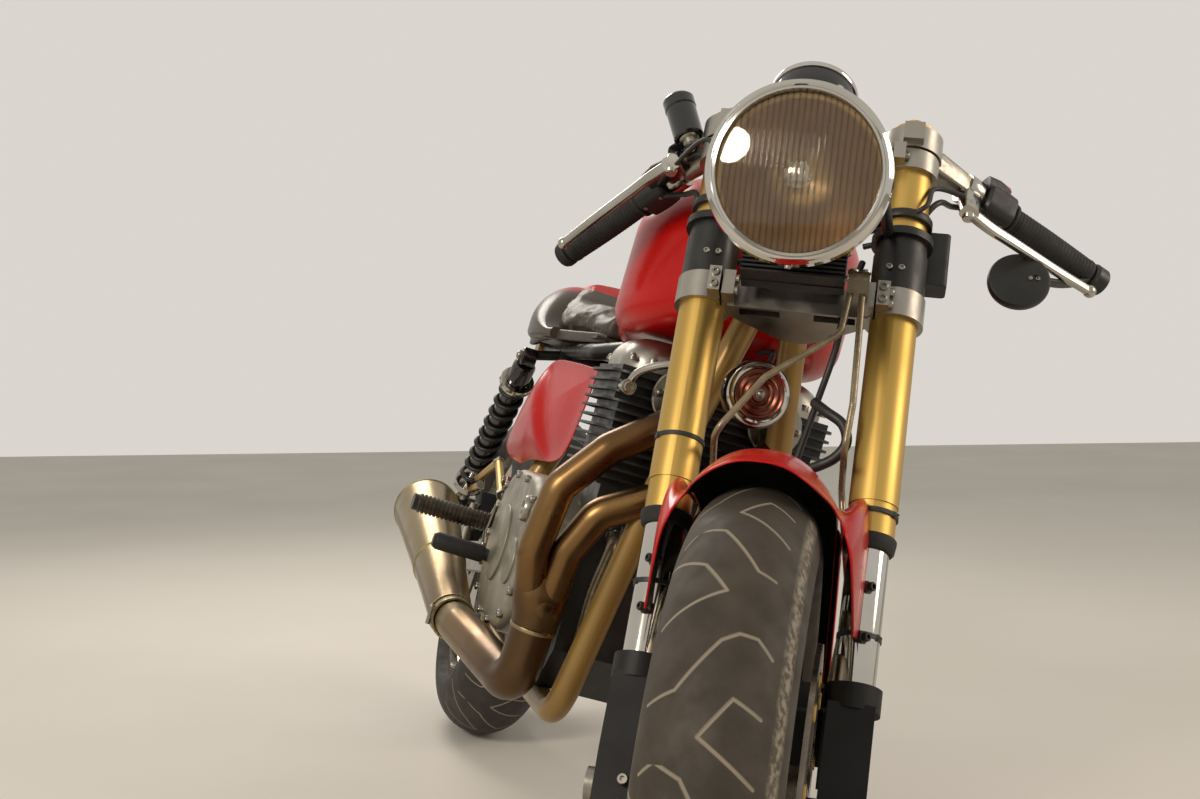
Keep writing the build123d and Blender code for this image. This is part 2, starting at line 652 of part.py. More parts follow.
# The cam cover: a flange on the head with a dome over each cylinder, parted by a valley
COVER_INSET = 15.0
COVER_FLANGE_H = 8.0
COVER_VALLEY = 6.0
cover_half_l, cover_half_w = BARREL_HALF_L - 7, BARREL_HALF_W - COVER_INSET
flange = Pos(ENGINE_X, 0, head_top) * RectangleRounded(2 * cover_half_l, 2 * cover_half_w, 40)
cam_cover = extrude(flange, COVER_FLANGE_H)
dome_y = (cover_half_w + COVER_VALLEY / 2) / 2
# Columns: share of the cover's height, drawn in from the flange, corner radius
DOME = ((0.0, 3.0, 38.0), (0.55, 10.0, 34.0), (0.85, 21.0, 30.0), (1.0, 36.0, 20.0))
for side in BOTH:
    layers = []
    for share, inset, corner in DOME:
        dome_l, dome_w = 2 * (cover_half_l - inset), cover_half_w - COVER_VALLEY / 2 - 2 * inset + 6
        at = Pos(ENGINE_X, side * dome_y, head_top + COVER_FLANGE_H + share * (COVER_H - COVER_FLANGE_H))
        layers.append(at * RectangleRounded(dome_l, dome_w, corner))
    cam_cover = cam_cover + loft(layers)
cam_cover = seated(cam_cover, head)
barrels = seated(barrels, head)

clutch_outline = Pos(-605, 428) * SlotOverall(310, 205)
clutch_cover = extrude(Plane.XZ.offset(CASE_HALF_W) * clutch_outline, SIDE_COVER_Y - CASE_HALF_W)
clutch_cover = fillet(clutch_cover.edges().group_by(Axis.Y)[0], 14)
alternator_cover = rod((CRANK_X, CASE_HALF_W, CRANK_Z), (CRANK_X, SIDE_COVER_Y - 4, CRANK_Z), 88)
alternator_cover = fillet(alternator_cover.edges().group_by(Axis.Y)[-1], 12)
sprocket_cover = side_profile(CASE_HALF_W, [(-650, 480), (-655, 330), (-780, 330), (-780, 470)], 30)
alternator_cover = alternator_cover + sprocket_cover


def carburettor(side):
    """A carburettor and its stub behind the head."""
    y = side * CYL_PITCH / 2
    back = ENGINE_X - BARREL_HALF_L + 10
    body = rod((back, y, head_top - 22), (back - 90, y, head_top - 30), 24)
    return body + rod((back - 45, y, head_top - 90), (back - 45, y, head_top + 10), 26)


carburettors = seated(mirrored(carburettor), head, barrels, cam_cover)

# Exhaust on the right: two headers, a link pipe and a tapering silencer
MERGE = (-388, -156, 392)
header_right = tube([(port_x, -PORT_Y, PORT_Z), (-346, -72, 640), (-346, -138, 587), (-352, -180, 530),
                     (-366, -186, 450), (-384, -172, 400)], HEADER_R, 26)
header_left = tube([(port_x, PORT_Y, PORT_Z), (-338, 54, 632), (-338, -40, 566), (-350, -128, 512),
                    (-364, -148, 460), (-380, -150, 400)], HEADER_R, 30)
exhaust_headers = header_right + header_left + Pos(*MERGE) * Sphere(30)
exhaust_headers = seated(exhaust_headers, head)
link_pipe = tube([(-388, -156, 396), (-402, -157, 288), (-600, -207, 311), (-668, -214, 314)], LINK_R, 34)
link_pipe = seated(link_pipe, exhaust_headers)
muffler_axis = Plane(origin=(-655, -213, 313), z_dir=(-540, -24, 112))
cone = [Circle(LINK_R + 3), Pos(0, 0, 200) * Circle(38), Pos(0, 0, 470) * Circle(MUFFLER_R)]
muffler = muffler_axis * loft(cone)
muffler = muffler + muffler_axis * loft([Pos(0, 0, 470) * Circle(MUFFLER_R), Pos(0, 0, 540) * Circle(30)])
muffler = muffler - muffler_axis * Pos(0, 0, 400) * extrude(Circle(24), 200)
muffler = seated(muffler, link_pipe)

# Frame


def axis_point(s):
    """A point on the steering axis, by its height up the fork."""
    return front_axle + fork_up * s - fork_fwd * FORK_OFFSET


BEARING_GAP = 0.5
head_low = axis_point(LOWER_CLAMP_S + LOWER_CLAMP_T + BEARING_GAP)
head_high = axis_point(TOP_CLAMP_S - BEARING_GAP)
headstock = rod(head_low, head_high, HEADSTOCK_R) - rod(head_low, head_high, STEM_R + RUN_FIT)
backbone = tube([head_high - fork_up * 80, (-520, 0, 800), (-800, 0, 735)], MAIN_TUBE_R, 90)
frame_backbone = headstock + seated(backbone, rod(head_low, head_high, STEM_R + RUN_FIT))


# Columns: forward of the pivot, above it
PIVOT_PLATE = ((79, 55), (85, -45), (17, -35), (-28, -20), (-28, 20), (17, 40))


def cradle(side):
    """Down tube from the headstock, under the engine and up past the pivot."""
    y = side * CRADLE_HALF
    root = axis_point(612)
    run = tube([(root.X, side * 14, root.Z), (-316, side * 24, 802), (-345, side * 70, 560), (-378, y, 272),
                (-760, y, 262), (-850, side * 126, 285), (-888, side * 126, 480), (-886, side * 96, 570),
                (-884, side * 92, 690)], CRADLE_TUBE_R, 40)
    outline = [(PIVOT_X + x, PIVOT_Z + z) for x, z in PIVOT_PLATE]
    plate = side_profile(side * PIVOT_PLATE_Y - PIVOT_PLATE_T / 2, outline, PIVOT_PLATE_T)
    bolt = rod((PIVOT_X, side * (PIVOT_HALF - PIVOT_BOLT_R), PIVOT_Z),
               (PIVOT_X, side * (PIVOT_PLATE_Y + PIVOT_BOLT_R), PIVOT_Z), PIVOT_BOLT_R)
    headstock_solid = rod(head_low, head_high, HEADSTOCK_R)
    return seated(run + plate + bolt, headstock_solid, backbone, exhaust_headers, link_pipe, crankcase)


frame_cradle_left = cradle(1)
frame_cradle_right = seated(cradle(-1), frame_cradle_left)


def seat_rail(side):
    """A rail from the backbone's end back to the tail, with a stay from the pivot."""
    y = side * 88
    rail = tube([(-700, side * 30, 745), (-820, y, 722), (-1330, y, 730)], RAIL_TUBE_R, 60)
    stay = rod((-884, side * 92, 600), (SHOCK_TOP[0], y, 724), RAIL_TUBE_R)
    pin_end = (SHOCK_TOP[0], side * (SHOCK_Y + 14), SHOCK_TOP[1])
    mount = rod((SHOCK_TOP[0], y, SHOCK_TOP[1] + 20), pin_end, SHOCK_PIN_R)
    return rail + stay + mount


rails = seat_rail(1) + seat_rail(-1) + rod((-1300, -88, 730), (-1300, 88, 730), RAIL_TUBE_R)
frame_subframe = seated(rails, frame_backbone, frame_cradle_left, frame_cradle_right)


def swing_arm(side):
    """One arm, from the pivot tube to the axle lug, with the shock's lug on top."""
    y = side * (ARM_IN + ARM_T / 2)
    root_x, knee_x, end_x = PIVOT_X + 42, rear_axle.X + ARM_TAPER_L, rear_axle.X - ARM_PAST_AXLE
    above, below = rear_axle.Z + ARM_ABOVE_AXLE, rear_axle.Z - ARM_BELOW_AXLE
    outline = [(root_x, PIVOT_Z + 22), (knee_x, above + 10), (end_x, above), (end_x, below),
               (knee_x, below + 8), (root_x, PIVOT_Z - 26)]
    arm = side_profile(y - ARM_T / 2, outline, ARM_T)
    lug = rod((shock_low[0], y, rear_axle.Z + 15), (shock_low[0], y, shock_low[1]), ARM_T / 2)
    pin = rod((shock_low[0], y, shock_low[1]), (shock_low[0], side * (SHOCK_Y + 14), shock_low[1]), SHOCK_PIN_R)
    return arm + lug + pin


pivot_tube = rod((PIVOT_X, -PIVOT_HALF, PIVOT_Z), (PIVOT_X, PIVOT_HALF, PIVOT_Z), 26)
swingarm = pivot_tube + swing_arm(1) + swing_arm(-1)
swingarm = swingarm - (Pos(*rear_axle) * rod((0, -arm_out - 1, 0), (0, arm_out + 1, 0), AXLE_R))
for side in BOTH:
    bottom, mouth = side * (arm_out - SPOOL_DEPTH), side * (arm_out + 1)
    swingarm = swingarm - rod((spool_at[0], bottom, spool_at[1]), (spool_at[0], mouth, spool_at[1]), SPOOL_R)
swingarm = seated(swingarm, frame_cradle_left, frame_cradle_right)

rear_shaft = spin([(arm_out + 14, 0), (arm_out + 14, 17), (arm_out, 17), (arm_out, AXLE_R),
                   (-arm_out, AXLE_R), (-arm_out, 17), (-arm_out - 10, 17), (-arm_out - 10, 0)], rear_axle)
rear_spacers = [spin([(side * (REAR_HUB_HALF + HUB_GAP), AXLE_R), (side * (REAR_HUB_HALF + HUB_GAP), 20),
                      (side * ARM_IN, 20), (side * ARM_IN, AXLE_R)], rear_axle) for side in BOTH]
rear_shaft = rear_shaft + rear_spacers


def shock(side):
    """A damper with its spring, between the subframe and the swingarm."""
    y = side * SHOCK_Y
    top, low = Vector(SHOCK_TOP[0], y, SHOCK_TOP[1]), Vector(shock_low[0], y, shock_low[1])
    length = (low - top).length
    coils = 9
    start, end = 74.0, length - 62.0
    pitch_of = (end - start) / coils
    # Columns: radius, distance down from the top eye
    profile = [(0, 10), (20, 10), (20, 60), (29, 60), (29, start)]
    for i in range(coils):
        at = start + pitch_of * i
        profile += [(SHOCK_SPRING_R - 8, at + pitch_of * 0.2), (SHOCK_SPRING_R, at + pitch_of * 0.4),
                    (SHOCK_SPRING_R, at + pitch_of * 0.75), (SHOCK_SPRING_R - 8, at + pitch_of * 0.95)]
    profile += [(29, end), (29, end + 12), (9, end + 12), (9, length - 10), (0, length - 10)]
    body = revolve(Plane.XZ * make_face(Polyline(*profile, close=True)), Axis.Z)
    body = Plane(origin=top, z_dir=low - top).location * body
    for eye in (top, low):
        body = body + rod(eye - Vector(0, 12, 0), eye + Vector(0, 12, 0), 15)
    return body


shocks = seated(mirrored(shock), frame_subframe, swingarm)

# Tank, seat and side panels


def hoop(x, low, high, half, corner, foot):
    """One cross section of the bodywork, with its own radius at the top and at the foot."""
    section = make_face(Polyline((-half, low), (half, low), (half, high), (-half, high), close=True))
    section = fillet(section.vertices().group_by(Axis.Y)[-1], corner)
    section = fillet(section.vertices().group_by(Axis.Y)[0], foot)
    return Plane(origin=(x, 0, 0), x_dir=(0, 1, 0), z_dir=(1, 0, 0)) * section


# Columns: x, underside, top, half width, top corner radius, foot radius
TANK = ((-338, 800, 892, 62, 38, 20), (-400, 757, 936, 114, 74, 34), (-500, 738, 955, 144, 92, 36),
        (-620, 738, 936, 114, 80, 26), (-740, 740, 880, 84, 58, 22), (-822, 748, 826, 58, 34, 16))
fuel_tank = loft([hoop(*row) for row in TANK])
fuel_tank = seated(fuel_tank, frame_backbone, cam_cover, frame_subframe)

# Columns: x, underside, top, half width, top corner radius, foot radius
COWL = ((-985, 733, 752, 140, 8, 8), (-1070, 731, 786, 157, 34, 12), (-1140, 732, 832, 153, 70, 14),
        (-1220, 738, 848, 134, 74, 18), (-1330, 760, 838, 96, 46, 20), (-1392, 784, 818, 50, 16, 12))
seat_cowl = loft([hoop(*row) for row in COWL])
# Columns: x, underside, top, half width, top corner radius, foot radius
PAD = ((-822, 752, 796, 84, 20, 12), (-900, 750, 795, 108, 22, 12), (-1000, 748, 798, 126, 24, 12),
       (-1075, 750, 814, 126, 32, 14), (-1135, 770, 847, 108, 40, 16), (-1172, 796, 858, 92, 34, 16))
seat_pad = loft([hoop(*row) for row in PAD])
seat_base = block(500, 190, 4, (-1330, -95, 742.5))
seat_cowl = seated(seat_cowl + seat_base, fuel_tank, frame_subframe)
seat_pad = seated(seat_pad, seat_cowl, fuel_tank)

# Side panels, closer together at the front. Columns: x, height
PANEL = ((-640, 692), (-900, 698), (-985, 632), (-1050, 548), (-925, 527), (-865, 540), (-740, 549),
         (-690, 572))
PANEL_RAISED = ((-700, 672), (-885, 676), (-950, 622), (-985, 570), (-860, 566), (-750, 575))
PANEL_T = 10.0
PANEL_FRONT = (-650.0, 112.0)
PANEL_REAR = (-1050.0, 146.0)


def side_panel(side):
    """A two-step cover under the seat, on a post from the frame's upright tube."""
    run = Vector(PANEL_REAR[0] - PANEL_FRONT[0], side * (PANEL_REAR[1] - PANEL_FRONT[1]), 0).normalized()
    out = Vector(-run.Y, run.X, 0) * (-side)
    sheet = Plane(origin=(PANEL_FRONT[0], side * PANEL_FRONT[1], 0), x_dir=run, z_dir=out)
    up_sign = 1 if sheet.y_dir.Z > 0 else -1

    def face(outline):
        """The outline on the panel's own plane."""
        points = [((x - PANEL_FRONT[0]) / run.X, up_sign * z) for x, z in outline]
        return make_face(Polyline(*points, close=True))

    cover = extrude(sheet * face(PANEL), PANEL_T) + extrude(sheet * face(PANEL_RAISED), 2 * PANEL_T)
    return cover + rod((-884, side * 100, 628), (-884, side * 136, 628), 7)


side_panels = seated(mirrored(side_panel), frame_cradle_left, frame_cradle_right)

# Horn behind the fork, on the frame's down tubes
horn_at = Vector(-262, -18, 690)
horn_rim = horn_at + Vector(16, 0, 0)
horn = rod(horn_at, horn_rim, 38) + rod(horn_rim, horn_rim + Vector(18, 0, 0), 28)
horn = horn + rod(horn_at, horn_at + Vector(-30, 0, 26), 5)
horn = seated(horn, frame_cradle_left, frame_cradle_right, frame_backbone)


def rearset(side):
    """A plate with its footpeg, toe peg and pedal arm."""
    y = side * 150
    plate = side_profile(y - 5, [(-770, 500), (-860, 500), (-900, 420), (-780, 400)], 10)
    plate = plate + rod((-850, side * 104, 480), (-850, side * 146, 480), 10)
    plate = plate + rod((-820, y, 436), (-815, side * 290, 438), 12)
    arm = rod((-795, side * 164, 425), (-690, side * 172, 402), 7) + rod(
        (-795, side * 150, 425), (-795, side * 171, 425), 10)
    return plate + arm + rod((-690, side * 166, 402), (-688, side * 262, 404), 9)


rearsets = seated(mirrored(rearset), frame_cradle_left, frame_cradle_right, swingarm, clutch_cover,
                  alternator_cover)

# Chain: a band round both sprockets, in one closed loop


def chain_loop(grow):
    """The outline round both sprockets at a distance from the pins' line."""
    front_r = sprocket_pitch_r(FRONT_TEETH) + grow
    rear_r = sprocket_pitch_r(REAR_TEETH) + grow
    return make_hull([CenterArc((SPROCKET_X, SPROCKET_Z), front_r, 0, 360),
                      CenterArc((rear_axle.X, REAR_R), rear_r, 0, 360)])


def chain_layer(face, middle, width):
    """One layer of the chain across its width."""
    return extrude(Plane.XZ.offset(-middle - width / 2) * face, width)


plate_face = chain_loop(CHAIN_H / 2) - chain_loop(-CHAIN_H / 2)
roller_face = chain_loop(ROLLER_R) - chain_loop(-ROLLER_R)
chain = chain_layer(roller_face, CHAIN_Y, CHAIN_W - 2)
for side in BOTH:
    chain = chain + chain_layer(plate_face, CHAIN_Y + side * (CHAIN_W - CHAIN_PLATE_T) / 2, CHAIN_PLATE_T)

# Rear brake caliper above the swingarm
rear_caliper = Pos(*rear_axle) * caliper(REAR_DISC_R, REAR_DISC_Y, 48, 84)
CALIPER_LINK_R = 9.0
caliper_low = (rear_axle.X + 100, REAR_DISC_Y - CALIPER_HALF_W + 4, rear_axle.Z - 92)
caliper_anchor = (rear_axle.X + ARM_TAPER_L + 10, -ARM_IN - ARM_T / 2, rear_axle.Z + 2)
rear_caliper = rear_caliper + rod(caliper_low, caliper_anchor, CALIPER_LINK_R)
rear_caliper = seated(rear_caliper, swingarm)

tail_light = seated(rod((-1372, 0, 800), (-1412, 0, 800), 26), seat_cowl)

# Stance: the steering turned, the machine leant and pitched until both tyres touch the floor
steer_origin = axis_point(0)
steer = turn_about(steer_origin, fork_up, -STEER_RIGHT)
beside = Vector(0, 1, 0)
wheel_turn = {"front": (placed(steer, front_axle), placed(steer, front_axle + beside), FRONT_R, FRONT_TYRE_W),
              "rear": (rear_axle, rear_axle + beside, REAR_R, REAR_TYRE_W)}


def lowest(stance, centre, beside, radius, width):
    """Height of a tyre's lowest point: a ring of round section about its axle."""
    centre, beside = placed(stance, centre), placed(stance, beside)
    axle = beside - centre
    return centre.Z - (radius - width / 2) * math.sqrt(1 - axle.Z ** 2) - width / 2


pitch = 0.0
for step in range(8):
    stance = Rot(-LEAN, 0, 0) * Rot(0, pitch, 0)
    front_low, rear_low = (lowest(stance, *wheel_turn[end]) for end in ("front", "rear"))
    pitch += math.degrees((front_low - rear_low) / WHEELBASE)
stance = Pos(0, 0, -front_low) * stance

# Side stand, drawn in place on the floor
stand_pivot = placed(stance, STAND_PIVOT)
stand_foot = Vector(stand_pivot.X + STAND_FORWARD, stand_pivot.Y + STAND_SPLAY, FOOT_T)
under_floor = block(400, 400, 60, (stand_foot.X - 200, stand_foot.Y - 200, -60))
leg = rod(stand_pivot, stand_foot, STAND_LEG_R) - under_floor
pad = Pos(stand_foot.X, stand_foot.Y, FOOT_T / 2) * Cylinder(24, FOOT_T)
deployed = (stand_foot - stand_pivot).normalized()
folded = placed(stance, Vector(-1, 0.06, 0.02)) - placed(stance, (0, 0, 0))
stand_axis = deployed.cross(folded).normalized()
eye = rod(stand_pivot - stand_axis * 9, stand_pivot + stand_axis * 9, 17)
side_stand = (leg + pad + eye) - rod(stand_pivot - stand_axis * 20, stand_pivot + stand_axis * 20, 6 + RUN_FIT)
stand_pin = rod(stand_pivot - stand_axis * 26, stand_pivot + stand_axis * 14, 6)
stand_lug = rod(stand_pivot - stand_axis * 26, stand_pivot - stand_axis * 10, 15)

front_nodes = {"front_tyre": front_tyre, "front_rim": front_rim, "front_hub": front_hub,
               "front_discs": front_discs}
rear_nodes = {"rear_tyre": rear_tyre, "rear_rim": rear_rim, "rear_hub": rear_hub, "rear_disc": rear_disc,
              "rear_sprocket": rear_sprocket}
steering_nodes = {
    "front_axle": front_shaft, "fork_feet": fork_feet, "fork_inner_tubes": fork_inner_tubes,
    "fork_outer_tubes": fork_outer_tubes, "lower_clamp": lower_clamp, "top_clamp": top_clamp,
    "headlight_shell": headlight_shell, "headlight_ring": headlight_ring, "headlight_lens": headlight_lens,
    "headlight_brackets": headlight_brackets, "instrument_pod": instrument_pod, "handlebars": handlebars,
    "grips": grips, "switchgear": switchgear, "levers": levers, "brake_reservoir": brake_reservoir,
    "mirror": mirror, "front_fender": front_fender, "front_calipers": front_calipers, "rectifier": rectifier,
    "brake_hoses": brake_hoses}
chassis_nodes = {
    "frame_backbone": frame_backbone, "frame_cradle_left": frame_cradle_left,
    "frame_cradle_right": frame_cradle_right, "frame_subframe": frame_subframe, "swingarm": swingarm,
    "rear_axle": rear_shaft, "shocks": shocks, "crankcase": crankcase, "barrels": barrels, "cylinder_head": head,
    "cam_cover": cam_cover, "clutch_cover": clutch_cover, "alternator_cover": alternator_cover,
    "carburettors": carburettors, "exhaust_headers": exhaust_headers, "link_pipe": link_pipe, "muffler": muffler,
    "fuel_tank": fuel_tank, "seat_cowl": seat_cowl, "seat_pad": seat_pad, "side_panels": side_panels, "horn": horn,
    "rearsets": rearsets, "chain": chain, "rear_caliper": rear_caliper, "tail_light": tail_light}

upright = {}
for name, shape in front_nodes.items():
    upright[name] = stance * steer * Pos(*front_axle) * shape
for name, shape in rear_nodes.items():
    upright[name] = stance * Pos(*rear_axle) * shape
for name, shape in steering_nodes.items():
    upright[name] = stance * steer * shape
for name, shape in chassis_nodes.items():
    upright[name] = stance * shape
upright["stand_bracket"] = seated(stand_pin + stand_lug, upright["frame_cradle_left"])
upright["side_stand"] = side_stand

# The origin goes under the middle of the whole machine
boxes = [shape.bounding_box() for shape in upright.values()]
low = Vector(min(b.min.X for b in boxes), min(b.min.Y for b in boxes), 0)
high = Vector(max(b.max.X for b in boxes), max(b.max.Y for b in boxes), 0)
to_origin = Pos(-(low.X + high.X) / 2, -(low.Y + high.Y) / 2, 0)

os.makedirs("parts", exist_ok=True)
for name, shape in upright.items():
    export_step(to_origin * shape, f"parts/{name}.step")


def report(label, location, point, direction):
    """Print a joint's or mount's place in metres and its direction."""
    location = to_origin * location
    at = placed(location, point)
    way = placed(location, Vector(*point) + Vector(*direction)) - at
    print(label, [round(v / 1000, 6) for v in at], [round(v, 6) for v in way])


report("front_wheel", stance * steer, front_axle, (0, 1, 0))
report("rear_wheel", stance, rear_axle, (0, 1, 0))
report("steering", stance, axis_point(600), fork_up)
report("side_stand", Location(), stand_pivot, stand_axis)
report("stand_foot", Location(), Vector(stand_foot.X, stand_foot.Y, 0), (0, 0, -1))
for side, label in ((1, "left_spool"), (-1, "right_spool")):
    report(label, stance, (spool_at[0], side * (arm_out - SPOOL_DEPTH / 2), spool_at[1]), (0, side, 0))
print("pitch", round(pitch, 4), "height", round(max(b.max.Z for b in boxes), 1))
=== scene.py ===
import json
import logging
import math
from dataclasses import dataclass
from enum import Enum
from typing import Optional, Sequence

import bmesh
import bpy
import numpy as np
from mathutils import Matrix, Vector


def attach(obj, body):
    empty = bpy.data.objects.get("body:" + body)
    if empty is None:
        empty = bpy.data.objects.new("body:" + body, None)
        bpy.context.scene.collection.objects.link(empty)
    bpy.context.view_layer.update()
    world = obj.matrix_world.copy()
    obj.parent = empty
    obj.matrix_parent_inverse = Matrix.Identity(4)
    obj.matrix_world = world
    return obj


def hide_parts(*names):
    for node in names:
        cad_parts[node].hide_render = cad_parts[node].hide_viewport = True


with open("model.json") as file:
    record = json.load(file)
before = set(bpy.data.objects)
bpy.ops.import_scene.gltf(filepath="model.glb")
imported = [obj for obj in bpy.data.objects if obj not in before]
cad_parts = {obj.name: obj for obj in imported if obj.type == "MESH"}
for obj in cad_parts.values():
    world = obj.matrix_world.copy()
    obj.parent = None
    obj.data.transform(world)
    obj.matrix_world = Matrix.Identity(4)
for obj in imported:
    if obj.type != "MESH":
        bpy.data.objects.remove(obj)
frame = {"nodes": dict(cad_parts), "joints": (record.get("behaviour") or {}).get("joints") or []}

log = logging.getLogger("cafe_racer")
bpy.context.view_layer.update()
MM = 0.001
Tree = bpy.types.NodeTree
Socket = bpy.types.NodeSocket
Triple = tuple[float, float, float]


# Axes of the machine

@dataclass(frozen=True)
class Axes:
    """A corner of the machine whose own points are given in millimetres."""

    origin: np.ndarray
    x: np.ndarray
    y: np.ndarray
    z: np.ndarray

    def at(self, points: object) -> np.ndarray:
        """Own points, in millimetres, as row points in metres."""
        return self.origin + (np.asarray(points, float) * MM) @ np.stack([self.x, self.y, self.z])

    def way(self, direction: object) -> np.ndarray:
        """An own direction as a unit row direction."""
        turned = np.asarray(direction, float) @ np.stack([self.x, self.y, self.z])
        return turned / np.linalg.norm(turned)

    def moved(self, x: float, y: float, z: float) -> "Axes":
        """The same directions about another own point, in millimetres."""
        return Axes(self.at((x, y, z)), self.x, self.y, self.z)

    def pitched(self, angle: float) -> "Axes":
        """The same corner turned about its y: x to cos a * x - sin a * z, and z to sin a * x + cos a * z."""
        c, s = math.cos(angle), math.sin(angle)
        return Axes(self.origin, c * self.x - s * self.z, self.y, s * self.x + c * self.z)

    def round(self, angle: float) -> np.ndarray:
        """The unit direction cos a * x + sin a * y."""
        return self.x * math.cos(angle) + self.y * math.sin(angle)


def joint_line(name: str) -> tuple[np.ndarray, np.ndarray]:
    """A joint's place and direction from the record.

    Args:
        name: The joint's name.

    Returns:
        Its point in metres and its unit direction.
    """
    joint = next(j for j in frame["joints"] if j["name"] == name)
    axis = np.array(joint["axis"], float)
    return np.array(joint["pos_m"], float), axis / np.linalg.norm(axis)


FRONT_AXLE, FRONT_Y = joint_line("front_wheel_spin")
REAR_AXLE, REAR_Y = joint_line("rear_wheel_spin")
FORK_UP = joint_line("steering_turn")[1]
RAKE = math.radians(22.5)
WHEELBASE, REAR_R = 1480.0, 315.0
FORK = Axes(FRONT_AXLE, np.cross(FRONT_Y, FORK_UP), FRONT_Y, FORK_UP)
STEERED = FORK.pitched(RAKE)
_square = np.cross(REAR_Y, FORK_UP)
_square /= np.linalg.norm(_square)
REAR = Axes(REAR_AXLE, _square, REAR_Y, np.cross(_square, REAR_Y)).pitched(RAKE)
CHASSIS = REAR.moved(WHEELBASE, 0, -REAR_R)
BOTH = (1, -1)
BASE, FRONT = "chassis", "steering"

# Places that finishes and pieces share, in the millimetres of the fork or the chassis
LAMP_AT = (232.0, 0.0, 546.0)
SILENCER_AT, SILENCER_WAY = (-655, -213, 313), (-540, -24, 112)


# Surfaces

@dataclass(frozen=True)
class Surface:
    """Points and faces of one sheet or closed shape, in row metres."""

    points: np.ndarray
    faces: list[list[int]]


def grid(points: np.ndarray, close_u: bool = False, close_v: bool = False, ends: bool = False) -> Surface:
    """A sheet over a grid of points: each cell of neighbours (u, v) is one face.

    Args:
        points: Grid of points, shaped (u, v, 3).
        close_u: Join the last row to the first.
        close_v: Join the last column to the first.
        ends: Close the first and last rows with a face each.

    Returns:
        The surface.
    """
    rows, columns = points.shape[:2]
    index = np.arange(rows * columns).reshape(rows, columns)
    first, last = index[0].tolist(), index[-1].tolist()
    if close_u:
        index = np.concatenate([index, index[:1]], 0)
    if close_v:
        index = np.concatenate([index, index[:, :1]], 1)
    faces = np.stack([index[:-1, :-1], index[1:, :-1], index[1:, 1:], index[:-1, 1:]], -1).reshape(-1, 4).tolist()
    if ends:
        faces += [first, last[::-1]]
    return Surface(points.reshape(-1, 3), faces)


def square_to(direction: np.ndarray, hint: Optional[np.ndarray] = None) -> tuple[np.ndarray, np.ndarray]:
    """Two unit directions square to one direction and to each other."""
    along = direction / np.linalg.norm(direction)
    hint = np.array([0.0, 0.0, 1.0]) if hint is None else np.asarray(hint, float)
    if abs(along @ hint) > 0.95 * np.linalg.norm(hint):
        hint = np.array([1.0, 0.0, 0.0])
    side = hint - (hint @ along) * along
    side /= np.linalg.norm(side)
    return side, np.cross(along, side)


def turned(profile: Sequence[tuple[float, float]], centre: np.ndarray, axis: np.ndarray, around: int = 48) -> Surface:
    """A profile of (distance along, radius), in millimetres, carried round an axis.

    The point at angle a is centre + along * axis + radius * (cos a * side + sin a * other).
    """
    rows = np.array(profile, float) * MM
    side, other = square_to(axis)
    angle = np.arange(around) * math.tau / around
    ring = np.cos(angle)[:, None] * side + np.sin(angle)[:, None] * other
    unit = axis / np.linalg.norm(axis)
    points = centre + rows[:, None, :1] * unit + rows[:, None, 1:] * ring[None]
    return grid(points, close_v=True)


def smooth_line(points: object, steps: int = 12) -> np.ndarray:
    """A Catmull-Rom curve through points: on each run a cubic whose slope at a point is half the step across it."""
    rows = np.asarray(points, float)
    rows = np.concatenate([2 * rows[:1] - rows[1:2], rows, 2 * rows[-1:] - rows[-2:-1]])
    p0, p1, p2, p3 = (rows[i:len(rows) - 3 + i, None] for i in range(4))
    t = (np.arange(steps) / steps)[None, :, None]
    run = 0.5 * (2 * p1 + (p2 - p0) * t + (2 * p0 - 5 * p1 + 4 * p2 - p3) * t ** 2
                 + (3 * p1 - p0 - 3 * p2 + p3) * t ** 3)
    return np.concatenate([run.reshape(-1, rows.shape[1]), rows[-2:-1]])


def carried(section: np.ndarray, line: np.ndarray, size: object = 1.0, hint: Optional[np.ndarray] = None,
            closed: bool = False) -> Surface:
    """A closed section of (across, up), in millimetres, carried along a line without twist.

    Each place on the line takes the section in the plane square to it, times its size there.

    Args:
        section: Points of the section, shaped (n, 2).
        line: Points in row metres, shaped (m, 3).
        size: One factor, one a point, or (across, up) factors a point.
        hint: Direction that the section's first side starts nearest to.
        closed: Whether the line's end joins its start.

    Returns:
        The surface, with its ends closed.
    """
    slope = np.gradient(line, axis=0)
    if closed:
        slope = np.roll(line, -1, 0) - np.roll(line, 1, 0)
    slope /= np.linalg.norm(slope, axis=1, keepdims=True)
    side = np.zeros_like(line)
    side[0] = square_to(slope[0], hint)[0]
    for i in range(1, len(line)):
        carried_side = side[i - 1] - (side[i - 1] @ slope[i]) * slope[i]
        side[i] = carried_side / np.linalg.norm(carried_side)
    other = np.cross(slope, side)
    factor = np.broadcast_to(np.asarray(size, float).reshape(-1, 1) if np.ndim(size) < 2 else size, (len(line), 2))
    flat = section[None] * MM * factor[:, None, :]
    points = line[:, None] + flat[..., :1] * side[:, None] + flat[..., 1:] * other[:, None]
    return grid(points, close_u=closed, close_v=True, ends=not closed)


def circle(radius: float, sides: int = 16) -> np.ndarray:
    """Points of a round section in millimetres."""
    angle = np.arange(sides) * math.tau / sides
    return radius * np.stack([np.cos(angle), np.sin(angle)], -1)


def rounded(width: float, height: float, corner: float, steps: int = 4) -> np.ndarray:
    """Points of a rectangle with round corners: a quarter circle about each corner's own centre."""
    angle = np.linspace(0, math.pi / 2, steps + 1)
    quarter = corner * np.stack([np.cos(angle), np.sin(angle)], -1)
    x, y = width / 2 - corner, height / 2 - corner
    turns = [np.array([[math.cos(a), math.sin(a)], [-math.sin(a), math.cos(a)]]) for a in np.arange(4) * math.pi / 2]
    centres = [(x, y), (-x, y), (-x, -y), (x, -y)]
    return np.concatenate([quarter @ turn + centre for turn, centre in zip(turns, centres)])


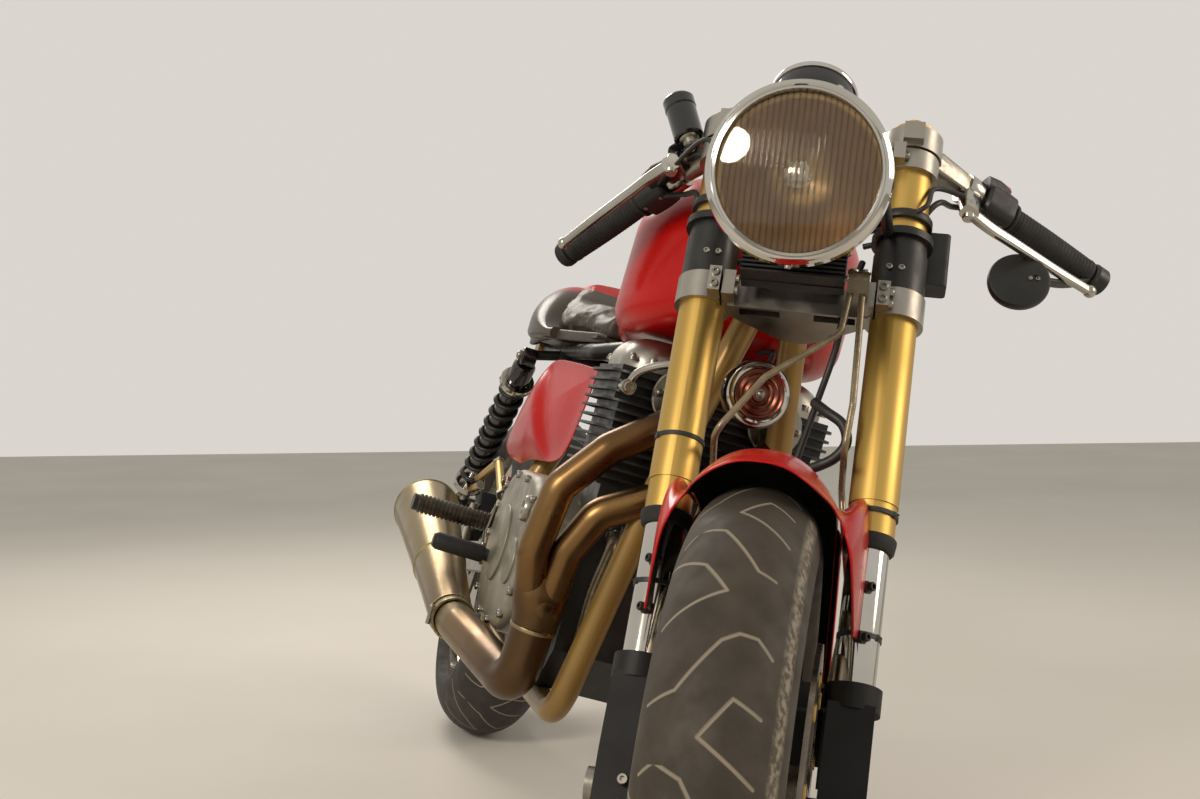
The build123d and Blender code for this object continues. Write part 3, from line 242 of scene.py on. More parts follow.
def turns(count: int, first: float = 0.0) -> list[float]:
    """Angles of so many even places round a circle."""
    return [k / count * math.tau + first for k in range(count)]


def rod(start: np.ndarray, end: np.ndarray, radius: float, sides: int = 16,
        end_radius: Optional[float] = None) -> Surface:
    """A round bar between two row points, radius in millimetres, with its rims eased by 8% of the radius."""
    end_radius = radius if end_radius is None else end_radius
    length = float(np.linalg.norm(end - start)) / MM
    ease = min(0.08 * radius, 0.3 * length)
    profile = [(0, 0), (0, radius - ease), (ease, radius), (length - ease, end_radius), (length, end_radius - ease),
               (length, 0)]
    return turned(profile, start, end - start, sides)


def bolt(place: np.ndarray, way: np.ndarray, radius: float, height: float, socket: bool = True) -> Surface:
    """A bolt's head from its seat: a cap with a socket, or a domed nut where no socket is asked.

    The profile runs out along the seat, up the side, round the rim and down into the socket.
    """
    if socket:
        profile = [(0, 0), (0, radius), (height * 0.85, radius), (height, radius * 0.88), (height, radius * 0.52),
                   (height * 0.4, radius * 0.5), (height * 0.4, 0)]
        return turned(profile, place, way, 18)
    dome = [(height * (0.45 + 0.55 * math.sin(a)), radius * 0.8 * math.cos(a))
            for a in np.linspace(0, math.pi / 2, 6)]
    return turned([(0, 0), (0, radius), (height * 0.4, radius)] + dome, place, way, 6 * 3)


def weld(mesh: bpy.types.Mesh, near: float = 1e-6, outward: bool = True) -> None:
    """Weld points nearer than a distance in metres and, where asked, point the faces outwards."""
    work = bmesh.new()
    work.from_mesh(mesh)
    bmesh.ops.remove_doubles(work, verts=work.verts, dist=near)
    if outward:
        bmesh.ops.recalc_face_normals(work, faces=work.faces)
    work.to_mesh(mesh)
    work.free()


def smoothed(mesh: bpy.types.Mesh) -> None:
    """Shade every face of a mesh smooth."""
    mesh.polygons.foreach_set("use_smooth", [True] * len(mesh.polygons))


def placed(name: str, data: Optional[bpy.types.ID]) -> bpy.types.Object:
    """A new object of the scene."""
    shown = bpy.data.objects.new(name, data)
    bpy.context.scene.collection.objects.link(shown)
    return shown


class Piece:
    """Surfaces gathered into one named object that rides on a CAD body."""

    def __init__(self, name: str, body: str, slot: str = "") -> None:
        """Start an empty piece for one CAD body, and keep a material slot's name where given."""
        self.name, self.body, self.slot = name, body, slot
        self.points: list[np.ndarray] = []
        self.faces: list[list[int]] = []
        self.finish_of: list[int] = []
        self.finishes: list[bpy.types.Material] = []
        self.count = 0

    def add(self, finish: "Finish", *surfaces: Surface) -> "Piece":
        """Put surfaces of one finish into the piece."""
        material = made(finish)
        if material not in self.finishes:
            self.finishes.append(material)
        which = self.finishes.index(material)
        for surface in surfaces:
            self.points.append(surface.points)
            self.faces += [[i + self.count for i in face] for face in surface.faces]
            self.finish_of += [which] * len(surface.faces)
            self.count += len(surface.points)
        return self

    def build(self, replaces: Sequence[str] = (), thick: float = 0.0, bevel: float = 0.0, subdivide: int = 0,
              crease: float = 35.0, outward: bool = True, lined: bool = False) -> bpy.types.Object:
        """Make the object: weld, point its faces outwards, finish its edges and let it ride.

        Args:
            replaces: CAD nodes that this piece stands for.
            thick: Wall given to open sheets, in millimetres.
            bevel: Width of eased edges, in millimetres.
            subdivide: Levels of subdivision.
            crease: Angle above which an edge stays sharp, in degrees.
            outward: Whether normals are worked out again.
            lined: Whether a wall's inner face has the second finish.

        Returns:
            The object.
        """
        mesh = bpy.data.meshes.new(self.name)
        mesh.from_pydata(np.concatenate(self.points).tolist(), [], self.faces)
        for finish in self.finishes:
            mesh.materials.append(finish)
        mesh.polygons.foreach_set("material_index", self.finish_of)
        weld(mesh, outward=outward)
        smoothed(mesh)
        mesh.set_sharp_from_angle(angle=math.radians(crease))
        shown = placed(self.name, mesh)
        if thick:
            wall = shown.modifiers.new("wall", "SOLIDIFY")
            wall.thickness, wall.offset = thick * MM, -1.0
            wall.material_offset = int(lined)
        if bevel:
            ease = shown.modifiers.new("ease", "BEVEL")
            ease.width, ease.segments, ease.limit_method = bevel * MM, 2, "ANGLE"
            ease.angle_limit = math.radians(40)
        if subdivide:
            fine = shown.modifiers.new("fine", "SUBSURF")
            fine.levels = fine.render_levels = subdivide
        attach(shown, self.body)
        if replaces:
            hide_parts(*replaces)
        log.info("%s: %d faces on %s", self.name, len(mesh.polygons), self.body)
        return shown


# Finishes

def linear(colour: str) -> tuple[float, float, float, float]:
    """An sRGB hex colour as linear light, each channel by the sRGB curve."""
    channels = [int(colour[i:i + 2], 16) / 255 for i in (0, 2, 4)]
    return tuple(c / 12.92 if c <= 0.04045 else ((c + 0.055) / 1.055) ** 2.4 for c in channels) + (1.0,)


def add_node(tree: Tree, kind: str, inputs: Optional[dict] = None, **settings: object) -> bpy.types.Node:
    """A node with its settings, its sockets set from values or linked from other sockets.

    Args:
        tree: The tree to add it to.
        kind: Blender's name of the node's type.
        inputs: Socket name or number to value or output socket.
        settings: The node's own properties.

    Returns:
        The node.
    """
    node = tree.nodes.new(kind)
    for name, value in settings.items():
        setattr(node, name, value)
    for name, value in (inputs or {}).items():
        if isinstance(value, Socket):
            tree.links.new(value, node.inputs[name])
        else:
            node.inputs[name].default_value = value
    return node


def maths(tree: Tree, operation: str, *values: object) -> Socket:
    """One step of arithmetic on numbers or sockets."""
    return add_node(tree, "ShaderNodeMath", dict(enumerate(values)), operation=operation).outputs[0]


def vectors(tree: Tree, operation: str, *values: object) -> Socket:
    """One step on vectors, whose result is a number where the operation gives one."""
    number = operation in ("DOT_PRODUCT", "DISTANCE", "LENGTH")
    return add_node(tree, "ShaderNodeVectorMath", dict(enumerate(values)), operation=operation).outputs[int(number)]


def past(tree: Tree, place: Socket, start: Triple, way: Triple) -> Socket:
    """How far a place lies past a start along a unit direction: (place - start) . way."""
    return vectors(tree, "DOT_PRODUCT", vectors(tree, "SUBTRACT", place, start), way)


def emptied(owner: bpy.types.ID) -> Tree:
    """The node tree of a material or world, without its first nodes."""
    owner.use_nodes = True
    owner.node_tree.nodes.clear()
    return owner.node_tree


@dataclass(frozen=True)
class Finish:
    """A surface whose colour drifts in patches, whose gloss is uneven and whose grain stands up."""

    name: str
    colour: str
    drift: str
    metallic: float = 0.0
    roughness: float = 0.5
    uneven: float = 0.1
    patch: float = 0.06
    grain: float = 0.0015
    relief: float = 0.00005
    coat: float = 0.0
    worn: str = ""
    stretch: Triple = (1.0, 1.0, 1.0)
    shine: float = 0.5
    part_colour: str = ""
    part_at: Triple = (0.0, 0.0, 0.0)
    part_way: Triple = (0.0, 0.0, 1.0)
    part_edge: float = 0.0015

    def place(self, tree: Tree) -> Socket:
        """Where the pattern is read: the piece's own coordinates in metres."""
        return add_node(tree, "ShaderNodeTexCoord").outputs["Object"]

    def noise(self, tree: Tree, place: Socket, size: float, detail: float = 3.0,
              stretch: Triple = (1.0, 1.0, 1.0)) -> Socket:
        """Smooth noise whose features are about one size, in metres."""
        scaled = add_node(tree, "ShaderNodeMapping", {"Vector": place, "Scale": stretch})
        return add_node(tree, "ShaderNodeTexNoise", {"Vector": scaled.outputs[0], "Scale": 1 / size, "Detail": detail}
                        ).outputs["Fac"]

    def spread(self, tree: Tree, value: Socket, low: float, high: float,
               start: float = 0.35, end: float = 0.65) -> Socket:
        """A value's middle band stretched to run from low to high."""
        return add_node(tree, "ShaderNodeMapRange", {"Value": value, "From Min": start, "From Max": end,
                                                     "To Min": low, "To Max": high}).outputs[0]

    def mixed(self, tree: Tree, share: Socket, first: object, second: object
              ) -> Socket:
        """Two colours mixed by a share from 0 to 1."""
        return add_node(tree, "ShaderNodeMix", {"Factor": share, 6: first, 7: second}, data_type="RGBA").outputs[2]

    def tone(self, tree: Tree, place: Socket) -> Socket:
        """The colour over the surface."""
        share = self.spread(tree, self.noise(tree, place, self.patch, 4.0), 0.0, 1.0)
        colour = self.mixed(tree, share, linear(self.colour), linear(self.drift))
        if self.worn:
            rubbed = self.spread(tree, self.noise(tree, place, self.patch * 0.35, 8.0), 0.0, 0.8, 0.62, 0.72)
            colour = self.mixed(tree, rubbed, colour, linear(self.worn))
        return colour

    def parted(self, tree: Tree, place: Socket, colour: Socket
               ) -> Socket:
        """The colour up to a dividing plane, and the second colour beyond it."""
        share = self.spread(tree, past(tree, place, self.part_at, self.part_way), 0.0, 1.0, 0.0, self.part_edge)
        return self.mixed(tree, share, colour, linear(self.part_colour))

    def height(self, tree: Tree, place: Socket) -> Socket:
        """The relief over the surface, from 0 to 1."""
        return self.noise(tree, place, self.grain, 3.0, self.stretch)

    def build(self) -> bpy.types.Material:
        """The material made of this finish."""
        material = bpy.data.materials.new(self.name)
        tree = emptied(material)
        place = self.place(tree)
        rough = self.spread(tree, self.noise(tree, place, self.patch * 0.5, 5.0),
                            max(self.roughness - self.uneven, 0.02), self.roughness + self.uneven)
        bump = add_node(tree, "ShaderNodeBump", {"Height": self.height(tree, place), "Distance": self.relief,
                                                 "Strength": 1.0})
        colour = self.tone(tree, place)
        if self.part_colour:
            colour = self.parted(tree, place, colour)
        shader = add_node(tree, "ShaderNodeBsdfPrincipled", {
            "Base Color": colour, "Roughness": rough, "Metallic": self.metallic, "Normal": bump.outputs[0],
            "Specular IOR Level": self.shine, "Coat Weight": self.coat, "Coat Roughness": 0.06})
        add_node(tree, "ShaderNodeOutputMaterial", {"Surface": shader.outputs[0]})
        return material


@dataclass(frozen=True)
class Tinted(Finish):
    """Metal whose colour runs through stops along a direction, as heat leaves it, over faint brushing."""

    start: Triple = (0.0, 0.0, 0.0)
    way: Triple = (0.0, 0.0, 1.0)
    length: float = 1.0
    stops: tuple[tuple[float, str], ...] = ()
    wander: float = 0.12

    def tone(self, tree: Tree, place: Socket) -> Socket:
        """Stops read at the distance along the way, moved to and fro by noise."""
        share = self.spread(tree, past(tree, place, self.start, self.way), 0.0, 1.0, 0.0, self.length)
        sway = self.spread(tree, self.noise(tree, place, self.patch, 4.0), -self.wander, self.wander, 0.2, 0.8)
        ramp = add_node(tree, "ShaderNodeValToRGB", {"Fac": maths(tree, "ADD", share, sway)})
        elements = ramp.color_ramp.elements
        while len(elements) < len(self.stops):
            elements.new(0.5)
        for element, (position, colour) in zip(elements, self.stops):
            element.position, element.color = position, linear(colour)
        return ramp.outputs[0]


@dataclass(frozen=True)
class Spun(Finish):
    """Metal with fine rings about an axle, as a lathe or brake pads leave them."""

    centre: Triple = (0.0, 0.0, 0.0)
    axle: Triple = (0.0, 1.0, 0.0)

    def height(self, tree: Tree, place: Socket) -> Socket:
        """Noise read along the distance from the axle only."""
        arm = vectors(tree, "CROSS_PRODUCT", vectors(tree, "SUBTRACT", place, self.centre), self.axle)
        return add_node(tree, "ShaderNodeTexNoise", {"W": vectors(tree, "LENGTH", arm), "Scale": 1 / self.grain,
                                                     "Detail": 2.0}, noise_dimensions="1D").outputs["Fac"]


@dataclass(frozen=True)
class Leather(Finish):
    """Soft hide: small cells with raised middles, over slow changes of tone."""

    def height(self, tree: Tree, place: Socket) -> Socket:
        """Distance to the edge of each cell, smoothed by fine noise."""
        cells = add_node(tree, "ShaderNodeTexVoronoi", {"Vector": place, "Scale": 1 / self.grain},
                         feature="DISTANCE_TO_EDGE").outputs["Distance"]
        fold = self.spread(tree, cells, 0.0, 1.0, 0.0, 0.25)
        return maths(tree, "MULTIPLY", fold, self.noise(tree, place, self.grain * 0.4))


@dataclass(frozen=True)
class Glass(Finish):
    """Clear or coloured glass with a faint film of dust."""

    ior: float = 1.5

    def build(self) -> bpy.types.Material:
        """A transmitting shader whose roughness rises where dust lies."""
        material = bpy.data.materials.new(self.name)
        tree = emptied(material)
        place = self.place(tree)
        dust = self.spread(tree, self.noise(tree, place, self.patch, 6.0), self.roughness,
                           self.roughness + self.uneven,
                           0.4, 0.7)
        shader = add_node(tree, "ShaderNodeBsdfPrincipled", {
            "Base Color": self.tone(tree, place), "Roughness": dust, "IOR": self.ior,
            "Specular IOR Level": self.shine, "Transmission Weight": 1.0})
        add_node(tree, "ShaderNodeOutputMaterial", {"Surface": shader.outputs[0]})
        return material


@dataclass(frozen=True)
class Fluted(Glass):
    """Pressed glass, darker along the edges of its upright flutes, where it bends light away."""

    start: Triple = (0.0, 0.0, 0.0)
    across: Triple = (0.0, 1.0, 0.0)
    pitch: float = 0.0058
    edge: str = "A08C6A"

    def tone(self, tree: Tree, place: Socket) -> Socket:
        """The edge colour by |2 * share of a flute - 1|^3, the share wandering with slow noise."""
        count = maths(tree, "DIVIDE", past(tree, place, self.start, self.across), self.pitch)
        sway = self.spread(tree, self.noise(tree, place, self.patch, 4.0), -0.15, 0.15, 0.2, 0.8)
        share = maths(tree, "FRACT", maths(tree, "ADD", count, sway))
        away = maths(tree, "ABSOLUTE", maths(tree, "MULTIPLY_ADD", share, 2.0, -1.0))
        return self.mixed(tree, maths(tree, "POWER", away, 3.0), linear(self.colour), linear(self.edge))


class Side(Enum):
    """Which edge of the tyre's crown a paler strip lies on."""

    LEFT = 1.0
    RIGHT = -1.0


@dataclass(frozen=True)
class TyreRubber(Finish):
    """Dusty rubber with thin cut grooves that repeat round the wheel, read from the piece's UV map in metres."""

    radius: float = 0.300
    repeat: float = 45.0
    first: float = -5.0
    groove_half: float = 0.0014
    dust: str = "9A8F7E"
    strip: Side = Side.LEFT
    strip_at: float = 0.062
    # Each line's points: across the crown as a share of its half, degrees up the wheel
    lines: tuple[tuple[tuple[float, float], ...], ...] = (
        ((-.62, 38.4), (-.44, 40.4), (-.17, 38.3), (.19, 29.0), (.36, 28.4)),
        ((-.86, 35.7), (-.28, 29.6), (-.04, 23.7), (-.67, 18.6)),
        ((-.66, 4.6), (-.34, 6.3), (-.01, 14.6), (.13, 16.2), (.29, 16.2), (.45, 13.9)),
        ((.45, -6.6), (-.08, -.5), (.16, 5.8), (.42, 3.9)), ((.43, 38.6), (-.08, 44.5)))
    half: float = 0.0942

    def marks(self, tree: Tree) -> tuple[Socket, Socket]:
        """Distance to the nearest groove, and distance across the crown, both in metres.

        The distance to a run from a to b is that to a + clamp(((p - a) . (b - a)) / |b - a|^2) * (b - a).
        """
        flat = add_node(tree, "ShaderNodeUVMap", uv_map="crown").outputs[0]
        parts = add_node(tree, "ShaderNodeSeparateXYZ", {0: flat}).outputs
        metres = math.radians(1.0) * self.radius
        folded = maths(tree, "WRAP", parts[0], (self.first + self.repeat) * metres, self.first * metres)
        point = add_node(tree, "ShaderNodeCombineXYZ", {0: folded, 1: parts[1]}).outputs[0]
        nearest: Optional[Socket] = None
        for line in self.lines:
            ends = [np.array([along * metres, across * self.half, 0.0]) for across, along in line]
            for a, b in zip(ends, ends[1:]):
                run, away = b - a, vectors(tree, "SUBTRACT", point, a)
                share = vectors(tree, "DOT_PRODUCT", away, run / (run @ run))
                held = add_node(tree, "ShaderNodeClamp", {"Value": share}).outputs[0]
                foot = add_node(tree, "ShaderNodeVectorMath", {0: run, "Scale": held}, operation="SCALE").outputs[0]
                gap = vectors(tree, "DISTANCE", away, foot)
                nearest = gap if nearest is None else maths(tree, "MINIMUM", nearest, gap)
        return nearest, parts[1]

    def tone(self, tree: Tree, place: Socket) -> Socket:
        """Rubber, paler in the grooves and along one flecked strip of the crown."""
        base = super().tone(tree, place)
        gap, across = self.marks(tree)
        cut = self.spread(tree, gap, 0.8, 0.0, self.groove_half * 0.6, self.groove_half * 1.5)
        base = self.mixed(tree, cut, base, linear(self.dust))
        off = maths(tree, "ABSOLUTE", maths(tree, "SUBTRACT", across, self.strip.value * self.strip_at))
        band = self.spread(tree, off, 1.0, 0.0, 0.003, 0.010)
        flecks = self.spread(tree, self.noise(tree, place, 0.006, 5.0), 0.15, 0.85, 0.42, 0.6)
        return self.mixed(tree, maths(tree, "MULTIPLY", band, flecks), base, linear(self.dust))

    def height(self, tree: Tree, place: Socket) -> Socket:
        """Grooves cut into a faintly rough surface."""
        gap, _ = self.marks(tree)
        cut = self.spread(tree, gap, 0.0, 1.0, 0.0, self.groove_half)
        fine = self.spread(tree, self.noise(tree, place, self.grain), -0.04, 0.04, 0.3, 0.7)
        return maths(tree, "ADD", cut, fine)


def point_of(place: np.ndarray) -> Triple:
    """A row point as plain numbers for a finish."""
    return tuple(float(v) for v in place)


RED = Finish("red_enamel_sprayed", "B80E08", "9E0A06", roughness=0.27, uneven=0.05, patch=0.25, grain=0.0012,
             relief=0.000010, coat=0.08, shine=0.24)
COWL_RED = Finish("red_enamel_over_hide", "B80E08", "9E0A06", roughness=0.30, uneven=0.05, patch=0.25, grain=0.0012,
                  relief=0.000010, coat=0.04, shine=0.24, part_colour="3E372B",
                  part_at=point_of(CHASSIS.at((-1245, 0, 762))), part_way=point_of(CHASSIS.way((0.54, 0, -0.84))))
FRAME_GOLD = Finish("frame_gold_powder_coat", "94743A", "7F6330", 0.35, 0.40, 0.08, 0.12, 0.0010, 0.00004, 0.15)
GOLD = Finish("fork_gold_anodised", "C6A45C", "B79650", 1.0, 0.40, 0.05, 0.30, 0.0009, 0.000012,
              stretch=(1.0, 1.0, 0.04))
CHROME = Finish("chrome_plated", "C9C6C0", "BBB7AF", 1.0, 0.07, 0.03, 0.12, 0.002, 0.000006)
SATIN = Finish("cast_alloy_satin", "A9A49A", "97928A", 1.0, 0.36, 0.07, 0.05, 0.0009, 0.00004)
POLISHED = Finish("alloy_polished", "BDB9B1", "A8A39A", 1.0, 0.18, 0.06, 0.08, 0.0012, 0.00001)
COVER_GREY = Finish("side_cover_cast_alloy_lacquered", "8F8A7C", "7E796C", 0.55, 0.42, 0.08, 0.05, 0.0011, 0.00006,
                    worn="A9A393")
BLACK_CAST = Finish("engine_black_wrinkle_enamel", "121211", "1B1A18", 0.0, 0.45, 0.08, 0.05, 0.0016, 0.00010,
                    worn="2C2A27")
BLACK_GLOSS = Finish("lamp_shell_black_gloss", "0B0B0B", "101010", 0.0, 0.16, 0.05, 0.2, 0.0015, 0.00001, 0.6)
BLACK_SATIN = Finish("small_parts_black_satin", "141413", "1D1C1A", 0.1, 0.42, 0.08, 0.04, 0.0011, 0.00005)
BLACK_CAST_FOOT = Finish("fork_foot_cast_black", "0D0C0B", "100F0E", 0.0, 0.58, 0.05, 0.10, 0.0013, 0.00006,
                         shine=0.3)
MOULDED = Finish("moulded_black_plastic", "151514", "1C1B1A", 0.0, 0.52, 0.08, 0.03, 0.0009, 0.00006)
GRIP = Finish("grip_rubber_moulded", "131312", "1B1A19", 0.0, 0.72, 0.08, 0.03, 0.0012, 0.00008)
STEEL = Finish("steel_zinc_plated", "9A958B", "857F75", 1.0, 0.32, 0.08, 0.02, 0.0008, 0.00002)
DARK_STEEL = Finish("steel_oiled", "4A463F", "5E584E", 1.0, 0.38, 0.10, 0.02, 0.0008, 0.00004)
COPPER = Finish("horn_disc_copper_lacquer", "6E4034", "8A5848", 1.0, 0.34, 0.06, 0.02, 0.001, 0.00002)
CABLE = Finish("cable_sleeve_black", "161514", "201E1C", 0.0, 0.5, 0.08, 0.03, 0.0012, 0.00004)
HOSE = Finish("hose_clear_over_steel_braid", "8D7F66", "7A6D57", 0.5, 0.3, 0.08, 0.01, 0.0012, 0.00012)
LEATHER = Leather("seat_hide_grey_brown", "40392D", "373126", roughness=0.46, uneven=0.07, patch=0.08, grain=0.0022,
                  relief=0.00016, part_colour="A80D08", part_at=point_of(CHASSIS.at((0, 0, 838))),
                  part_way=point_of(CHASSIS.z))
HIDE_EDGE = Leather("seat_hide_edge", "40392D", "373126", roughness=0.46, uneven=0.07, patch=0.08, grain=0.0022,
                    relief=0.00016)
LENS = Glass("headlight_glass_pressed", "F4F3EE", "F4F3EE", roughness=0.02, uneven=0.06, patch=0.04)
LAMP_GLASS = Fluted("headlight_glass_fluted", "F1ECE2", "F1ECE2", roughness=0.03, uneven=0.05, patch=0.05,
                    shine=0.12, start=point_of(FORK.at(LAMP_AT)), across=point_of(FORK.y))
# The reflector's warm brown-beige colour is a painted reflection of the room, lighter than the aluminised bowl's own
# silver.
REFLECTOR_PAINTED_REFLECTION = Finish("lamp_reflector_aluminised", "CDB48C", "BFA67E", 1.0, 0.34, 0.05, 0.05, 0.002, 0.00001)
RED_GLASS = Glass("tail_lens_red", "B30C08", "B30C08", roughness=0.08, uneven=0.05, patch=0.02)
RED_SWITCH = Finish("switch_red_moulded", "C21A12", "B01510", roughness=0.42, patch=0.01)
SILVER_MIRROR = Finish("mirror_glass_silvered", "D8DADB", "D3D5D6", 1.0, 0.03, 0.01, 0.1, 0.004, 0.000002)
STRAW_BAND = Finish("clamp_band_steel_straw", "8F8160", "A3946F", 1.0, 0.34, 0.08, 0.03, 0.0009, 0.00003)
WHITE_PRINT = Finish("dial_print_white", "D9D6CC", "CFCBC0", 0.0, 0.5, 0.05, 0.02, 0.001, 0.00001)
DIAL = Finish("instrument_face_black", "0D0D0D", "121212", 0.0, 0.35, 0.05, 0.02, 0.001, 0.00001)
HEADERS = Tinted("header_pipe_heat_tinted", "8A5530", "7A4A2B", 1.0, 0.32, 0.06, 0.07, 0.0012, 0.00002,
                 start=point_of(CHASSIS.at((-392, -60, 668))), way=point_of(-CHASSIS.z), length=0.30,
                 stops=((0.0, "3A2C20"), (0.18, "664C32"), (0.5, "866842"), (0.8, "765A3A"), (1.0, "5C4834")))
LINK = Tinted("collector_heat_tinted", "8A5530", "7A4A2B", 1.0, 0.34, 0.06, 0.07, 0.0012, 0.00002,
              start=point_of(CHASSIS.at((-388, -156, 392))), way=point_of(-CHASSIS.x), length=0.28,
              stops=((0.0, "5E4934"), (0.25, "5C4834"), (0.45, "7C6448"), (0.7, "84704E"), (1.0, "80704E")))
MUFFLER = Tinted("silencer_steel_brushed_straw", "A8956C", "9A8760", 1.0, 0.33, 0.05, 0.10, 0.0009, 0.00003,
                 stretch=(0.05, 1.0, 1.0), start=point_of(CHASSIS.at(SILENCER_AT)),
                 way=point_of(CHASSIS.way(SILENCER_WAY)), length=0.54,
                 stops=((0.0, "7C6848"), (0.3, "8A7854"), (0.7, "94825E"), (1.0, "8A7C60")))
TREAD = TyreRubber("tyre_rubber_cut_tread", "3B3328", "2F281F", roughness=0.72, uneven=0.08, patch=0.05, grain=0.0015,
                   relief=0.0009)
REAR_TREAD = TyreRubber("tyre_rubber_rear_tread", "2E2822", "26211C", roughness=0.72, uneven=0.08, patch=0.05,
                        grain=0.0015, relief=0.0009, radius=0.315, half=0.1257, strip_at=0.2)
DISC_FRONT = Spun("brake_disc_ground_front", "8C8276", "7B7166", 1.0, 0.28, 0.05, 0.03, 0.0012, 0.00002,
                  centre=point_of(FRONT_AXLE), axle=point_of(FRONT_Y))
DISC_REAR = Spun("brake_disc_ground_rear", "8C8276", "7B7166", 1.0, 0.28, 0.05, 0.03, 0.0012, 0.00002,
                 centre=point_of(REAR_AXLE), axle=point_of(REAR_Y))

CAD_FINISHES: dict[Finish, tuple[str, ...]] = {
    RED: ("fuel_tank",),
    COWL_RED: ("seat_cowl",),
    FRAME_GOLD: ("frame_backbone", "frame_cradle_left", "frame_cradle_right"),
    GOLD: ("fork_outer_tubes",),
    CHROME: ("fork_inner_tubes", "headlight_ring"),
    SATIN: ("lower_clamp", "top_clamp", "handlebars", "cam_cover", "front_hub", "rear_hub", "carburettors",
            "swingarm"),
    POLISHED: ("front_rim", "rear_rim"),
    COVER_GREY: ("clutch_cover", "alternator_cover"),
    BLACK_CAST: ("crankcase", "barrels", "cylinder_head"),
    BLACK_GLOSS: ("headlight_shell",),
    BLACK_SATIN: ("frame_subframe", "headlight_brackets", "rectifier", "stand_bracket", "side_stand", "rearsets"),
    BLACK_CAST_FOOT: ("fork_feet", "front_calipers", "rear_caliper"),
    STEEL: ("front_axle", "rear_axle"),
    DARK_STEEL: ("rear_sprocket",),
    HOSE: ("brake_hoses",),
    HEADERS: ("exhaust_headers",),
    LINK: ("link_pipe",),
    MUFFLER: ("muffler",),
    DISC_FRONT: ("front_discs",),
    DISC_REAR: ("rear_disc",),
    RED_GLASS: ("tail_light",),
}
_made: dict[Finish, bpy.types.Material] = {}


def made(finish: Finish) -> bpy.types.Material:
    """The material of a finish, built once."""
    if finish not in _made:
        _made[finish] = finish.build()
    return _made[finish]


def dress_cad() -> None:
    """Give each CAD node that stays in view its finish."""
    for finish, nodes in CAD_FINISHES.items():
        for name in nodes:
            mesh = frame["nodes"][name].data
            mesh.materials.clear()
            mesh.materials.append(made(finish))


# The machine's pieces

@dataclass
class Tyre:
    """A tyre with a round crown, cut grooves and plain walls, in place of its solid. Sizes in millimetres."""

    name: str
    body: str
    node: str
    axes: Axes
    radius: float
    width: float
    bead_r: float
    bead_half: float
    finish: Finish
    around: int = 360
    wall: float = 8.0

    knee: float = 12.0

    def section(self) -> tuple[np.ndarray, np.ndarray]:
        """Points (across, radius) from one bead round the crown to the other, and the arc length at each."""
        arc = np.radians(np.linspace(-90, 90, 41))
        half = self.width / 2
        ring = self.radius - half
        crown = np.stack([half * np.sin(arc), ring + half * np.cos(arc)], -1)
        knee = self.bead_r + self.knee
        wall = np.stack([np.linspace(half, self.bead_half + 1.5, 6)[1:],
                         ring + (knee - ring) * np.linspace(0, 1, 6)[1:] ** 0.8], -1)
        lip = np.array([[self.bead_half, self.bead_r + 1], [self.bead_half - self.wall, self.bead_r + 1]])
        right = np.concatenate([wall, lip])
        left = right[::-1] * [-1, 1]
        points = np.concatenate([left, crown, right])
        step = np.linalg.norm(np.diff(points, axis=0), axis=1)
        length = np.concatenate([[0], np.cumsum(step)])
        return points, length - length[-1] / 2

    def build(self) -> None:
        """Carry the section round the axle and give the crown its UV map.

        The point at angle a is centre + across * axle + radius * (cos a * x + sin a * z); its map is
        (a * crown radius, arc length), both in metres.
        """
        section, length = self.section()
        angle = np.arange(self.around + 1) * math.tau / self.around
        flat = np.stack([np.outer(np.cos(angle), section[:, 1]),
                         np.broadcast_to(section[:, 0], (len(angle), len(section))),
                         np.outer(np.sin(angle), section[:, 1])], -1)
        sheet = grid(self.axes.at(flat))
        mesh = bpy.data.meshes.new(self.name)
        mesh.from_pydata(sheet.points.tolist(), [], sheet.faces)
        mesh.materials.append(made(self.finish))
        index = np.zeros(len(mesh.loops), int)
        mesh.loops.foreach_get("vertex_index", index)
        row, column = np.divmod(index, len(section))
        uv = np.stack([angle[row] * self.radius * MM, length[column] * MM], -1)
        layer = mesh.uv_layers.new(name="crown")
        layer.data.foreach_set("uv", uv.astype(np.float32).ravel())
        weld(mesh)
        smoothed(mesh)
        tyre = placed(self.name, mesh)
        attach(tyre, self.body)
        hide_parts(self.node)
        log.info("%s: %d faces on %s", self.name, len(mesh.polygons), self.body)


